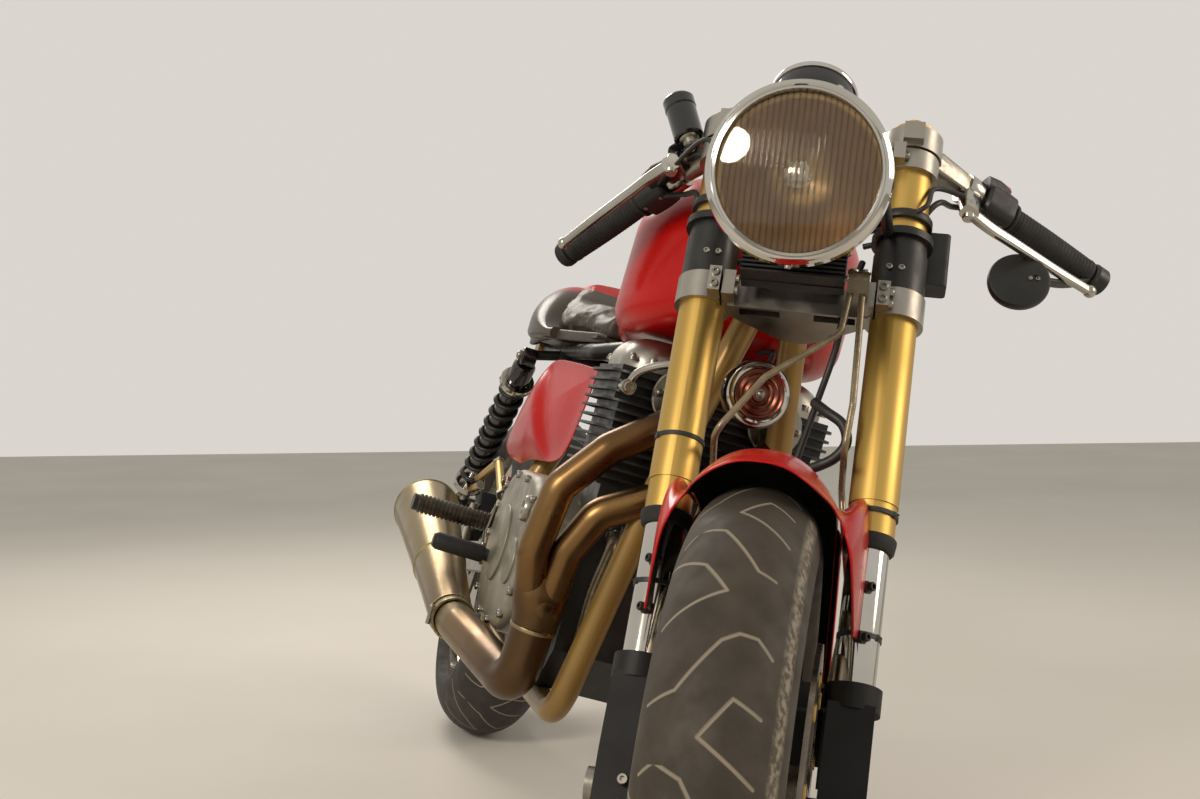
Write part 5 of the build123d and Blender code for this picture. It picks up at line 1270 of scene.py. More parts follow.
@dataclass
class SeatPad:
    """The hide-covered seat: the solid's own shape shrunk, blown up as cloth and creased."""

    node: str = "seat_pad"
    voxel: float = 0.005
    shrink: float = 0.003
    pressure: float = 4.0
    frames: int = 20
    cap: float = 0.009
    smoothings: int = 3
    quality: int = 5
    stiffness: float = 12.0
    # The crease between seat and hump: its place from the front axle, bow, foot and fade, then depth and half width
    crease_x: float = -1070.0
    crease_bow: float = 0.0007
    crease_foot: float = 770.0
    crease_fade: float = 15.0
    crease_deep: float = 0.003
    crease_half: float = 0.011

    def source(self) -> bpy.types.Object:
        """A merged, remeshed and slightly shrunk copy of the solid."""
        copy = frame["nodes"][self.node]
        mesh = copy.data.copy()
        mesh.transform(copy.matrix_world)
        weld(mesh, 1e-5)
        mesh.materials.clear()
        pad = placed("seat_hide", mesh)
        remesh = pad.modifiers.new("remesh", "REMESH")
        remesh.mode, remesh.voxel_size = "VOXEL", self.voxel
        self.settle(pad)
        for _ in range(self.smoothings):
            self.smooth(pad.data)
        points, normals = self.read(pad.data, "vertices", "co"), self.read(pad.data, "vertices", "normal")
        self.write(pad.data, points - normals * self.shrink)
        return pad

    def settle(self, pad: bpy.types.Object) -> None:
        """Turn the object's modifiers into its mesh."""
        graph = bpy.context.evaluated_depsgraph_get()
        graph.update()
        settled = bpy.data.meshes.new_from_object(pad.evaluated_get(graph), depsgraph=graph)
        pad.modifiers.clear()
        pad.data = settled

    def read(self, mesh: bpy.types.Mesh, kind: str, what: str) -> np.ndarray:
        """Rows of three numbers read from a mesh."""
        rows = np.zeros(len(getattr(mesh, kind)) * 3, np.float32)
        getattr(mesh, kind).foreach_get(what, rows)
        return rows.reshape(-1, 3).astype(float)

    def write(self, mesh: bpy.types.Mesh, points: np.ndarray) -> None:
        """Put points back into a mesh."""
        mesh.vertices.foreach_set("co", points.astype(np.float32).ravel())
        mesh.update()

    def smooth(self, mesh: bpy.types.Mesh) -> None:
        """Move each point half way to the mean of its neighbours."""
        points = self.read(mesh, "vertices", "co")
        edges = np.zeros(len(mesh.edges) * 2, np.int64)
        mesh.edges.foreach_get("vertices", edges)
        a, b = edges.reshape(-1, 2).T
        total, count = np.zeros_like(points), np.zeros(len(points))
        for one, other in ((a, b), (b, a)):
            np.add.at(total, one, points[other])
            np.add.at(count, one, 1)
        self.write(mesh, 0.5 * points + 0.5 * total / np.maximum(count, 1)[:, None])

    def blow(self, pad: bpy.types.Object) -> None:
        """Let cloth swell under pressure, then hold each point within the cap of where it began."""
        start = self.read(pad.data, "vertices", "co")
        cloth = pad.modifiers.new("cloth", "CLOTH")
        settings = cloth.settings
        settings.use_pressure, settings.uniform_pressure_force = True, self.pressure
        settings.effector_weights.gravity = 0.0
        settings.quality = self.quality
        settings.tension_stiffness = settings.compression_stiffness = self.stiffness
        cloth.collision_settings.use_collision = False
        for number in range(1, self.frames + 1):
            bpy.context.scene.frame_set(number)
        self.settle(pad)
        moved = self.read(pad.data, "vertices", "co") - start
        far = np.linalg.norm(moved, axis=1, keepdims=True)
        self.write(pad.data, start + moved * np.minimum(1.0, self.cap / np.maximum(far, 1e-9)))
        bpy.context.scene.frame_set(1)

    def crease(self, pad: bpy.types.Object) -> None:
        """Press the seam across the pad, a valley exp(-(distance / half width)^2) deep along the normals."""
        points, normals = self.read(pad.data, "vertices", "co"), self.read(pad.data, "vertices", "normal")
        own = (points - CHASSIS.origin) @ np.stack([CHASSIS.x, CHASSIS.y, CHASSIS.z], -1) / MM
        upper = np.clip((own[:, 2] - self.crease_foot) / self.crease_fade, 0, 1)
        line = self.crease_x + self.crease_bow * own[:, 1] ** 2
        depth = np.exp(-((own[:, 0] - line) * MM / self.crease_half) ** 2) * self.crease_deep * upper
        self.write(pad.data, points - normals * depth[:, None])

    def build(self) -> None:
        """Make the pad and its crease."""
        pad = self.source()
        self.blow(pad)
        self.crease(pad)
        pad.data.materials.append(made(LEATHER))
        smoothed(pad.data)
        pad.data.name = pad.name
        fine = pad.modifiers.new("fine", "SUBSURF")
        fine.levels = fine.render_levels = 1
        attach(pad, BASE)
        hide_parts(self.node)
        log.info("seat_hide: %d faces", len(pad.data.polygons))


@dataclass
class Engine:
    """Screws, studs, plugs and pipes on the engine. Places in the chassis' millimetres."""

    def cover_screws(self) -> list[Surface]:
        """Screws round the clutch cover's edge, on bosses, and round the alternator cover's."""
        found = []
        for t in turns(14):
            straight = max(-CLUTCH_HALF, min(CLUTCH_HALF, (CLUTCH_HALF + CLUTCH_SCREW_R) * 1.15 * math.cos(t)))
            if abs(straight) < CLUTCH_HALF:
                x, z = CLUTCH_X + straight, CLUTCH_Z + math.copysign(CLUTCH_SCREW_R, math.sin(t))
            else:
                x, z = CLUTCH_X + straight + CLUTCH_SCREW_R * math.cos(t), CLUTCH_Z + CLUTCH_SCREW_R * math.sin(t)
            found.append(bolt(CHASSIS.at((x, -SIDE_COVER_Y + 2.5, z)), -CHASSIS.y, 5.2, 6.5))
        for t in turns(8, 0.3):
            at = CHASSIS.at((ALTERNATOR_X + ALTERNATOR_SCREW_R * math.cos(t), SIDE_COVER_Y - 4.5,
                             ALTERNATOR_Z + ALTERNATOR_SCREW_R * math.sin(t)))
            found.append(bolt(at, CHASSIS.y, 4.4, 5.0))
        return found

    def head_studs(self) -> list[Surface]:
        """Domed nuts along the cam cover's flange, and socket screws across the head."""
        top = HEAD_TOP + 8
        return [bolt(CHASSIS.at((ENGINE_X + x, side * (BARREL_HALF_W - 22), top)), CHASSIS.z, 5.5, 9, socket=False)
                for side in BOTH for x in (-62, 0, 62)] + [
                    bolt(CHASSIS.at((ENGINE_X + x, y, top)), CHASSIS.z, 5.5, 8)
                    for x in (-64, 64) for y in (-100, -6, 6, 100)]

    def plugs(self) -> tuple[list[Surface], list[Surface]]:
        """Spark plug caps in the head's front and their leads under the tank."""
        caps, leads = [], []
        cap = [(0, 0), (0, 9), (10, 9.5), (14, 8), (34, 7.5), (38, 9), (48, 8.5), (51, 6), (51, 0)]
        for side in BOTH:
            seat = CHASSIS.at((ENGINE_X + 66, side * 30, HEAD_TOP - 4))
            way = CHASSIS.way((0.55, 0.0, 1.0))
            caps.append(turned(cap, seat, way, 24))
            line = np.stack([seat + way * 0.048, seat + way * 0.075, CHASSIS.at((-412, side * 26, 752)),
                             CHASSIS.at((-452, side * 22, 756))])
            leads.append(carried(circle(3.6, 12), smooth_line(line, 8)))
        return caps, leads

    def oil_pipes(self) -> tuple[list[Surface], list[Surface]]:
        """A silver pipe from a banjo on the head's front corner, and a braided hose down to the sump."""
        banjo = CHASSIS.at((ENGINE_X + BARREL_HALF_L + 10, -128, 664))
        route = CHASSIS.at(smooth_line([(ENGINE_X + BARREL_HALF_L + 12, -128, 664), (-376, -122, 684),
                                        (-356, -98, 700), (-330, -70, 706), (-322, -30, 712)], 10))
        pipe = [carried(circle(5.2, 16), route),
                rod(banjo - CHASSIS.x * 0.006, banjo + CHASSIS.x * 0.012, 9.5, 24),
                bolt(banjo + CHASSIS.x * 0.012, CHASSIS.x, 7.0, 6.0)]
        hose_line = CHASSIS.at(smooth_line([(-411, -88, 492), (-392, -92, 470), (-400, -96, 420),
                                            (-410, -94, 366), (-420, -90, 330)], 10))
        braid = [carried(circle(7.0, 16), hose_line)]
        fitting = [(-12, 7.2), (-12, 9), (-4, 9), (-4, 10.5), (6, 10.5), (8, 8), (8, 0)]
        for at, way in ((hose_line[0], hose_line[0] - hose_line[3]), (hose_line[-1], hose_line[-1] - hose_line[-4])):
            pipe.append(turned(fitting, at, way, 24))
        return pipe, braid

    def build(self) -> None:
        """Build the engine's small parts on the frame."""
        screws = Piece("engine_screws", BASE, "steel").add(STEEL, *self.cover_screws(), *self.head_studs())
        filler = CHASSIS.at((-505, -SIDE_COVER_Y, 488))
        plug = [(0, 0), (0, 17), (5, 17), (8, 15), (8, 9), (5, 8), (5, 0)]
        screws.add(STEEL, turned(plug, filler, -CHASSIS.y, 30))
        screws.build()
        caps, leads = self.plugs()
        Piece("spark_plug_caps", BASE, "black_plastic").add(GRIP, *caps).add(CABLE, *leads).build()
        pipe, braid = self.oil_pipes()
        Piece("oil_pipe", BASE, "steel").add(POLISHED, *pipe).build()
        Piece("oil_hose_braided", BASE, "hose").add(HOSE, *braid).build()
        ribs = Piece("clutch_cover_relief", BASE, "satin_alloy")
        # Rows: profile, middle, points around. Each one faces outwards on its own side
        for profile, (x, y, z), points in (
                ([(-1, 52), (3, 52), (4.2, 50), (4.2, 14), (5.5, 12), (5.5, 0)], (-640, -SIDE_COVER_Y, CLUTCH_Z), 72),
                ([(-1, 30), (2.4, 30), (3.4, 28.5), (3.4, 0)], (-527, -SIDE_COVER_Y, 418), 60),
                ([(-1, 40), (3, 40), (4.5, 37), (4.5, 12), (6, 10), (6, 0)],
                 (ALTERNATOR_X, SIDE_COVER_Y - 4, ALTERNATOR_Z), 72)):
            ribs.add(COVER_GREY, turned(profile, CHASSIS.at((x, y, z)), math.copysign(1, y) * CHASSIS.y, points))
        ribs.build(bevel=0.6)


@dataclass
class Exhaust:
    """Flanges, weld rings, clamp bands and the silencer's tail. Places in the chassis' millimetres."""

    # Rows: middle, direction, tube radius, half width, height of the ring
    rings: tuple[tuple[tuple[float, ...], tuple[float, ...], float, float, float], ...] = (
        ((-392, -156, 362), (-0.12, 0, -1.0), 26.0, 2.2, 1.8),
        ((-645, -212, 313), (-1.0, -0.045, 0.06), 27.0, 8.0, 2.6),
        ((-660, -213.3, 314.5), (-0.978, -0.043, 0.203), 29, 2, 1.8))
    # Rows down the collector: middle, half length fore and aft, half width
    collector: tuple[tuple[float, ...], ...] = (
        (-382, -161, 424, 20.5, 34.5), (-383, -160, 412, 22.5, 34.5), (-385, -159, 398, 26.5, 33),
        (-388, -157.5, 384, 28, 31),
        (-391, -156.3, 370, 27.6, 28), (-393, -156, 360, 26.8, 26.8))

    def sleeve(self) -> Surface:
        """The collector: ovals x = a cos t, y = b sign(sin t) |sin t|^0.85, that close from two pipes' width to one."""
        t = np.arange(56) * math.tau / 56
        rows = smooth_line(self.collector, 4)
        return grid(CHASSIS.at(np.stack([rows[:, :1] + rows[:, 3:4] * np.cos(t),
                                         rows[:, 1:2] + rows[:, 4:5] * np.sign(np.sin(t)) * np.abs(np.sin(t)) ** 0.85,
                                         np.broadcast_to(rows[:, 2:3], (len(rows), len(t)))], -1)), close_v=True)

    def build(self) -> None:
        """Build the exhaust's fittings on the frame."""
        Piece("exhaust_collector", BASE, "heated_steel").add(HEADERS, self.sleeve()).build(thick=0.8)
        bands = Piece("exhaust_clamp_bands", BASE, "steel")
        for at, way, radius, half, high in self.rings:
            ring = [(-half, radius), (-half, radius + high), (-half * 0.6, radius + high * 1.15),
                    (half * 0.6, radius + high * 1.15), (half, radius + high), (half, radius), (-half, radius)]
            bands.add(STRAW_BAND, turned(ring, CHASSIS.at(at), CHASSIS.way(way), 56))
        lug = CHASSIS.at((-645, -212 - 31, 308))
        bands.add(STEEL, rod(lug - CHASSIS.z * 0.010, lug + CHASSIS.z * 0.012, 3.2, 14),
                  bolt(lug + CHASSIS.z * 0.012, CHASSIS.z, 5.0, 5.0, socket=False))
        bands.build()
        flanges = Piece("exhaust_port_flanges", BASE, "steel")
        flange = [(0, 19.3), (0, 33), (2, 34.5), (6, 34.5), (8, 33), (8, 24), (13, 22), (13, 19.3)]
        for side in BOTH:
            port = CHASSIS.at((ENGINE_X + BARREL_HALF_L + 6, side * 62, 668))
            flanges.add(STEEL, turned(flange, port, CHASSIS.x, 56))
            for y in (-28, 28):
                at = port + CHASSIS.y * y * MM + CHASSIS.x * 0.008
                flanges.add(STEEL, bolt(at, CHASSIS.x, 5.0, 6.5, socket=False))
        flanges.build()
        axis, start = CHASSIS.way(SILENCER_WAY), CHASSIS.at(SILENCER_AT)
        tail = [(539, 30.4), (541, 31.6), (543, 31), (543, 25.5), (538, 24.6), (470, 23.6), (405, 23.4)]
        Piece("silencer_tail_ring", BASE, "steel").add(STRAW_BAND, turned(tail, start, axis, 64)).build()
        seams = [[(at - 1.8, r - 0.4), (at - 1.2, r + 0.9), (at, r + 1.3), (at + 1.2, r + 0.9), (at + 1.8, r - 0.4)]
                 for at, r in ((470, 53.0), (201, 38.2))]
        Piece("silencer_seams", BASE, "straw_steel").add(
            STRAW_BAND, *[turned(seam, start, axis, 96) for seam in seams]).build()


@dataclass
class Shocks:
    """Coil springs on their dampers, between two eyes. Places in the chassis' millimetres."""

    coils: int = 9
    wire: float = 4.0
    spring_r: float = 20.5
    # The spring's seats from the top eye and from the low one, and the notches of the collar
    top_seat: float = 76.0
    low_seat: float = 66.0
    notches: int = 12
    top: Triple = (-1075.0, 148.0, 697.0)
    low: Triple = (-1390.0, 148.0, 425.0)

    def spring(self, top: np.ndarray, axes: Axes, length: float) -> Surface:
        """An even helix: the point at angle t is (R cos t, R sin t, seat + height * share of all turns)."""
        share = np.linspace(0, 1, self.coils * 26)
        angle = share * self.coils * math.tau
        along = self.top_seat + (length - self.top_seat - self.low_seat) * share
        points = np.stack([self.spring_r * np.cos(angle), self.spring_r * np.sin(angle), along], -1)
        return carried(circle(self.wire, 12), axes.at(points), hint=axes.z)

    def build(self) -> None:
        """Build both shocks on the frame."""
        body = Piece("shock_dampers", BASE, "black_paint")
        metal = Piece("shock_collars", BASE, "steel")
        springs = Piece("shock_springs", BASE, "black_paint")
        crown = [(16, 0), (16, 15), (22, 19), (58, 19.5), (60, 17), (60, 0)]
        collar = [(60, 19), (60, 28.5), (64, 29), (70, 29), (74, 27), (74, 19)]
        ring = [(-12, 9), (-12, 14), (-10.5, 15.5), (10.5, 15.5), (12, 14), (12, 9), (-12, 9)]
        washer = [(-12.5, 0), (-12.5, 9), (-13.4, 8), (-13.4, 0)]
        for side in BOTH:
            top, low = (CHASSIS.at((p[0], side * p[1], p[2])) for p in (self.top, self.low))
            way = (low - top) / np.linalg.norm(low - top)
            length = float(np.linalg.norm(low - top)) / MM
            across, other = square_to(way, CHASSIS.y)
            axes = Axes(top, across, other, way)
            shaft = [(62, 8), (62, 17), (length - 110, 17), (length - 108, 14), (length - 108, 6)]
            foot = [(length - 64, 10), (length - 64, 27), (length - 60, 29), (length - 52, 29), (length - 49, 25),
                    (length - 30, 14), (length - 14, 12), (length - 14, 0)]
            body.add(BLACK_GLOSS, turned(crown, top, way, 40), turned(shaft, top, way, 40))
            metal.add(POLISHED, turned(collar, top, way, 44), turned(foot, top, way, 44),
                      turned([(length - 112, 6.2), (length - 50, 6.2)], top, way, 24))
            for t in turns(self.notches):
                at = top + way * 0.067 + axes.round(t) * 0.0285
                metal.add(STEEL, rod(at, at + axes.round(t) * 0.0016, 2.2, 8))
            springs.add(BLACK_SATIN, self.spring(top, axes, length))
            for eye in (top, low):
                body.add(BLACK_GLOSS, turned(ring, eye, CHASSIS.y, 36))
                metal.add(STEEL, turned(washer, eye, side * -CHASSIS.y, 28),
                          bolt(eye + side * CHASSIS.y * 0.014, side * CHASSIS.y, 8.5, 7.0, socket=False))
        springs.build(["shocks"])
        body.build()
        metal.build()


@dataclass
class Chain:
    """A roller chain of separate links, laid round both sprockets. Sizes in millimetres."""

    pitch: float = 15.875
    front: tuple[float, float, int] = (-815.0, 395.0, 18)
    rear: tuple[float, float, int] = (-1480.0, 315.0, 43)
    y: float = 98.0
    # Plates: radius of their ends, thickness, and distance of outer and inner ones from the middle
    plate_r: float = 7.2
    plate_thick: float = 1.9
    outer_y: float = 6.6
    inner_y: float = 4.4

    def loop(self) -> np.ndarray:
        """Points along the pins' line, closely spaced: two arcs and the two straights that touch both."""
        (fx, fz, fn), (rx, rz, rn) = self.front, self.rear
        fr, rr = (self.pitch / 2 / math.sin(math.pi / n) for n in (fn, rn))
        run = np.array([fx - rx, fz - rz])
        far = float(np.linalg.norm(run))
        lean, open_by = math.atan2(run[1], run[0]), math.acos((rr - fr) / far)
        front = [(fx + fr * math.cos(a), fz + fr * math.sin(a))
                 for a in np.linspace(lean + open_by, lean - open_by, 60)]
        rear = [(rx + rr * math.cos(a), rz + rr * math.sin(a))
                for a in np.linspace(lean - open_by, lean + open_by - math.tau, 160)]
        return np.array(front + rear + front[:1])

    def pins(self) -> np.ndarray:
        """Pin places, evenly spaced by a whole number of links."""
        line = self.loop()
        length = np.concatenate([[0], np.cumsum(np.linalg.norm(np.diff(line, axis=0), axis=1))])
        count = 2 * round(length[-1] / self.pitch / 2)
        at = np.arange(count) * length[-1] / count
        return np.stack([np.interp(at, length, line[:, i]) for i in (0, 1)], -1)

    def plate(self, start: np.ndarray, end: np.ndarray, y: float) -> Surface:
        """A waisted link plate between two pins: two round ends joined by a narrower middle."""
        run = (end - start) / np.linalg.norm(end - start)
        up = np.array([-run[1], run[0]])
        angle = np.linspace(-2.2, 2.2, 7)
        r = self.plate_r
        back = [start - run * r * math.cos(a) - up * r * math.sin(a) for a in angle]
        ahead = [end + run * r * math.cos(a) + up * r * math.sin(a) for a in angle]
        outline = np.array(back + ahead)
        layers = [np.stack([outline[:, 0], np.full(len(outline), y + s * self.plate_thick / 2), outline[:, 1]], -1)
                  for s in (-1, 1)]
        return grid(CHASSIS.at(np.stack(layers)), close_v=True, ends=True)

    def build(self) -> None:
        """Build the chain on the frame."""
        pins = self.pins()
        following = np.roll(pins, -1, 0)
        plates = Piece("chain_links", BASE, "steel")
        for i, (start, end) in enumerate(zip(pins, following)):
            y = self.outer_y if i % 2 else self.inner_y
            plates.add(DARK_STEEL, *[self.plate(start, end, self.y + side * y) for side in BOTH])
            at = CHASSIS.at((start[0], self.y, start[1]))
            plates.add(STEEL, turned([(-8, 0), (-8, 2.4), (8, 2.4), (8, 0)], at, CHASSIS.y, 8),
                       turned([(-3.4, 2.4), (-3.4, 5.1), (3.4, 5.1), (3.4, 2.4)], at, CHASSIS.y, 10))
        plates.build(["chain"])


PANEL_FRONT, PANEL_REAR = (-650.0, 112.0), (-1050.0, 146.0)


@dataclass
class Running:
    """Horn, side panels, seat base, tank cap, foot controls and rear fittings, in the chassis' millimetres."""

    # Columns: forward of the front axle, height
    panel: tuple[tuple[float, float], ...] = (
        (-650, 688), (-760, 694), (-880, 696), (-930, 678), (-985, 632), (-1030, 572), (-1040, 548), (-1000, 534),
        (-925, 529), (-865, 540), (-740, 550), (-694, 574), (-668, 630))
    cap_at: Triple = (-505, 0, 954.5)
    # The panels' stand-off from their plane, bulge and depth of the knee recess
    stand_off: float = 3.0
    bulge: float = 22.0
    recess: float = 15.0

    def horn(self) -> None:
        """A black cup, a plated ring and a ribbed copper disc with its centre nut."""
        at = CHASSIS.at((-262, -18, 690))
        cup = [(-4, 0), (-4, 30), (0, 37), (12, 38.5), (18, 38.5), (20, 36), (18, 30), (18, 0)]
        strap = CHASSIS.at([(-266, -18, 690), (-280, -18, 704), (-292, -18, 716)])
        Piece("horn_cup", BASE, "black_paint").add(
            BLACK_GLOSS, turned(cup, at, CHASSIS.x, 60), carried(rounded(16, 3, 1), strap, hint=CHASSIS.y)
        ).build(["horn"])
        ring = [(18, 29), (18, 35.5), (22, 36), (25, 34.5), (27, 31.5), (26, 29), (18, 29)]
        disc = [(24, 29)] + [(26 + 1.1 * math.cos(r * 0.9), r) for r in np.linspace(28, 9, 20)] + [(29, 8), (29, 0)]
        Piece("horn_face", BASE, "chrome").add(CHROME, turned(ring, at, CHASSIS.x, 60)).add(
            COPPER, turned(disc, at, CHASSIS.x, 60)).add(
            STEEL, bolt(at + CHASSIS.x * 0.029, CHASSIS.x, 5.5, 5.0, socket=False)).build()

    def panels(self) -> None:
        """The side panels, bulged inside their outline, with a knee recess along the upper front.

        The recess deepens by a logistic step, 5 wide, across the line x + 0.9 * (z - 620) = -850.
        """
        outline = smooth_line(self.panel + self.panel[:1], 10)[:-1]
        middle = np.array([-845.0, 622.0])
        share = np.linspace(0, 1, 22)
        flat = middle + (outline - middle)[None] * share[:, None, None]
        length = PANEL_REAR[0] - PANEL_FRONT[0]
        along = (flat[..., 0] - PANEL_FRONT[0]) / length
        base = PANEL_FRONT[1] + (PANEL_REAR[1] - PANEL_FRONT[1]) * along
        recess = 1 / (1 + np.exp((-flat[..., 0] - 0.9 * (flat[..., 1] - 620) - 850) / 5.0))
        edge = share[:, None]
        out = self.stand_off + self.bulge * (1 - edge ** 2.4) - self.recess * recess * (1 - edge ** 6)
        skins = Piece("side_panels_pressed", BASE, "red_paint").add(RED, *[
            grid(CHASSIS.at(np.stack([flat[..., 0], side * (base + out), flat[..., 1]], -1)), close_v=True)
            for side in BOTH])
        skins.build(["side_panels"], thick=2.5, subdivide=1, crease=80)
        studs = Piece("side_panel_posts", BASE, "steel")
        for side in BOTH:
            studs.add(STEEL, rod(CHASSIS.at((-884, side * 100, 628)), CHASSIS.at((-884, side * 140, 628)), 7.0))
        studs.build()

    def stand_plate(self) -> None:
        """A plate between the left cradle tube and the stand's pin, set edge-on to the side, and its two screws."""
        plate = Piece("stand_plate", BASE, "black_alloy")
        line = CHASSIS.at([(-640, 109, 240), (-640, 106, 276)])
        plate.add(BLACK_SATIN, carried(rounded(36, 8, 3), line, hint=CHASSIS.y))
        plate.add(STEEL, *[bolt(CHASSIS.at((x, 113, 262)), CHASSIS.y, 5.0, 3.0) for x in (-650, -630)])
        plate.build(bevel=0.6)

    def seat_base(self) -> None:
        """The hide edge under seat and hump, and the gold bracket that carries them."""
        edge = [(-835, 76, 746), (-920, 106, 743), (-1000, 128, 741), (-1070, 143, 733), (-1140, 140, 731),
                (-1220, 122, 737),
                (-1320, 88, 757), (-1380, 44, 780)]
        for side in BOTH:
            line = CHASSIS.at(smooth_line(np.array(edge, float) * [1, side, 1], 8))
            Piece("seat_base_edge_" + ("left" if side > 0 else "right"), BASE, "seat_leather").add(
                HIDE_EDGE, carried(rounded(16, 8, 3), line, hint=CHASSIS.z)).build()
        bracket = CHASSIS.at([(-1262, -100, 728), (-1300, -100, 728)])
        Piece("seat_bracket", BASE, "frame_paint").add(
            FRAME_GOLD, carried(rounded(26, 16, 3), bracket, hint=CHASSIS.z)).build(bevel=0.8)

    def tank(self) -> None:
        """The flush filler cap with its ring and hinge screws, on the tank's top."""
        at = CHASSIS.at(self.cap_at)
        cap = [(-4, 0), (-4, 36), (3, 36), (4.5, 34.5), (4.5, 31), (2.5, 30), (2.5, 24), (6.5, 22), (8.5, 16), (9, 0)]
        piece = Piece("tank_filler_cap", BASE, "chrome").add(CHROME, turned(cap, at, CHASSIS.z, 72))
        for t in turns(6, 0.5):
            piece.add(STEEL, bolt(at + CHASSIS.round(t) * 0.0275 + CHASSIS.z * 0.0025, CHASSIS.z, 2.2, 1.6))
        piece.build()

    def foot_controls(self) -> None:
        """Knurled pegs, toe rubbers, linkage rods and the pivots' bolts."""
        rubber = Piece("foot_peg_knurls", BASE, "grip_rubber")
        steel = Piece("foot_linkages", BASE, "steel")
        knurl = ((1, 12.2), (1.6, 14.2), (4.6, 14.2), (5.2, 12.2))
        peg = [(0, 12)] + [(k * 6.0 + along, r) for k in range(19)
                           for along, r in knurl] + [(115, 12.2), (119, 10), (120, 0)]
        toe = [(0, 9.1), (0, 11), (2, 12), (66, 12), (70, 10), (72, 0)]
        for side in BOTH:
            start, end = CHASSIS.at((-819, side * 168, 436)), CHASSIS.at((-815, side * 288, 438))
            rubber.add(DARK_STEEL, turned(peg, start, end - start, 20))
            start, end = CHASSIS.at((-690, side * 190, 402)), CHASSIS.at((-688, side * 262, 404))
            rubber.add(GRIP, turned(toe, start, end - start, 24))
            rod_line = CHASSIS.at([(-795, side * 178, 425), (-778, side * 176, 470)])
            steel.add(STEEL, bolt(CHASSIS.at((-795, side * 171, 425)), side * CHASSIS.y, 8.0, 6.5),
                      *[bolt(CHASSIS.at((x, side * 155, z)), side * CHASSIS.y, 6.0, 6.0)
                        for x, z in ((-784, 478), (-868, 478), (-884, 434))])
            steel.add(STEEL, carried(circle(3.0, 12), rod_line))
        rubber.build()
        steel.build()

    def linkage(self) -> None:
        """Gold brake rods with steel sleeves at their ends, on the right, and an alloy hanger on each side."""
        gold = Piece("rear_brake_rods", BASE, "gold_anodised")
        for start, end, radius in (((-1040, -152, 520), (-1300, -140, 474), 6.5),
                                   ((-1180, -150, 470), (-1385, -138, 448), 5.5),
                                   ((-868, -160, 478), (-1040, -152, 520), 6.5)):
            a, b = CHASSIS.at(start), CHASSIS.at(end)
            gold.add(GOLD, rod(a, b, radius, 18))
            gold.add(STEEL, rod(a - (b - a) * 0.02, a + (b - a) * 0.05, radius * 1.35, 6),
                     rod(b - (b - a) * 0.05, b, radius * 1.35, 6))
        gold.build()
        hanger = Piece("rearset_hangers", BASE, "satin_alloy")
        for side in BOTH:
            line = [(-905, side * 148, 500), (-930, side * 150, 452), (-962, side * 151, 420),
                    (-948, side * 150, 386)]
            hanger.add(SATIN, carried(rounded(9, 26, 3), CHASSIS.at(smooth_line(line, 6)), hint=CHASSIS.y))
            hanger.add(STEEL, *[bolt(CHASSIS.at((x, side * 155, z)), side * CHASSIS.y, 7.0, 6.0)
                                for x, z in ((-905, 498), (-962, 420))])
        hanger.build(bevel=0.8)

    def rear_end(self) -> None:
        """Chain adjusters, the tail lamp's rim, and the bolts of pivot and shock."""
        steel = Piece("swingarm_fittings", BASE, "steel")
        for side in BOTH:
            y = side * 122
            end = CHASSIS.at((-1520, y, 315))
            steel.add(STEEL, rod(end + CHASSIS.x * 0.004, end - CHASSIS.x * 0.026, 4.0, 16),
                      bolt(end - CHASSIS.x * 0.001, -CHASSIS.x, 7.5, 6.0, socket=False),
                      bolt(CHASSIS.at((-947, side * 150, 385)), side * CHASSIS.y, 14.0, 9.0, socket=False))
            guide = CHASSIS.at([(-1518, side * 109, 315), (-1518, side * 135, 315)])
            steel.add(SATIN, carried(rounded(4, 34, 3), guide, hint=CHASSIS.x))
        steel.build()
        lamp = CHASSIS.at((-1412, 0, 800))
        Piece("tail_lamp_rim", BASE, "chrome").add(
            CHROME, turned([(-12, 26), (-12, 28), (-2, 28.6), (1.5, 27.5), (1.5, 25), (-12, 26)], lamp, -CHASSIS.x,
                           48)).build()

    def build(self) -> None:
        """Build the small parts."""
        self.horn()
        self.panels()
        self.stand_plate()
        self.seat_base()
        self.tank()
        self.foot_controls()
        self.rear_end()
        self.linkage()


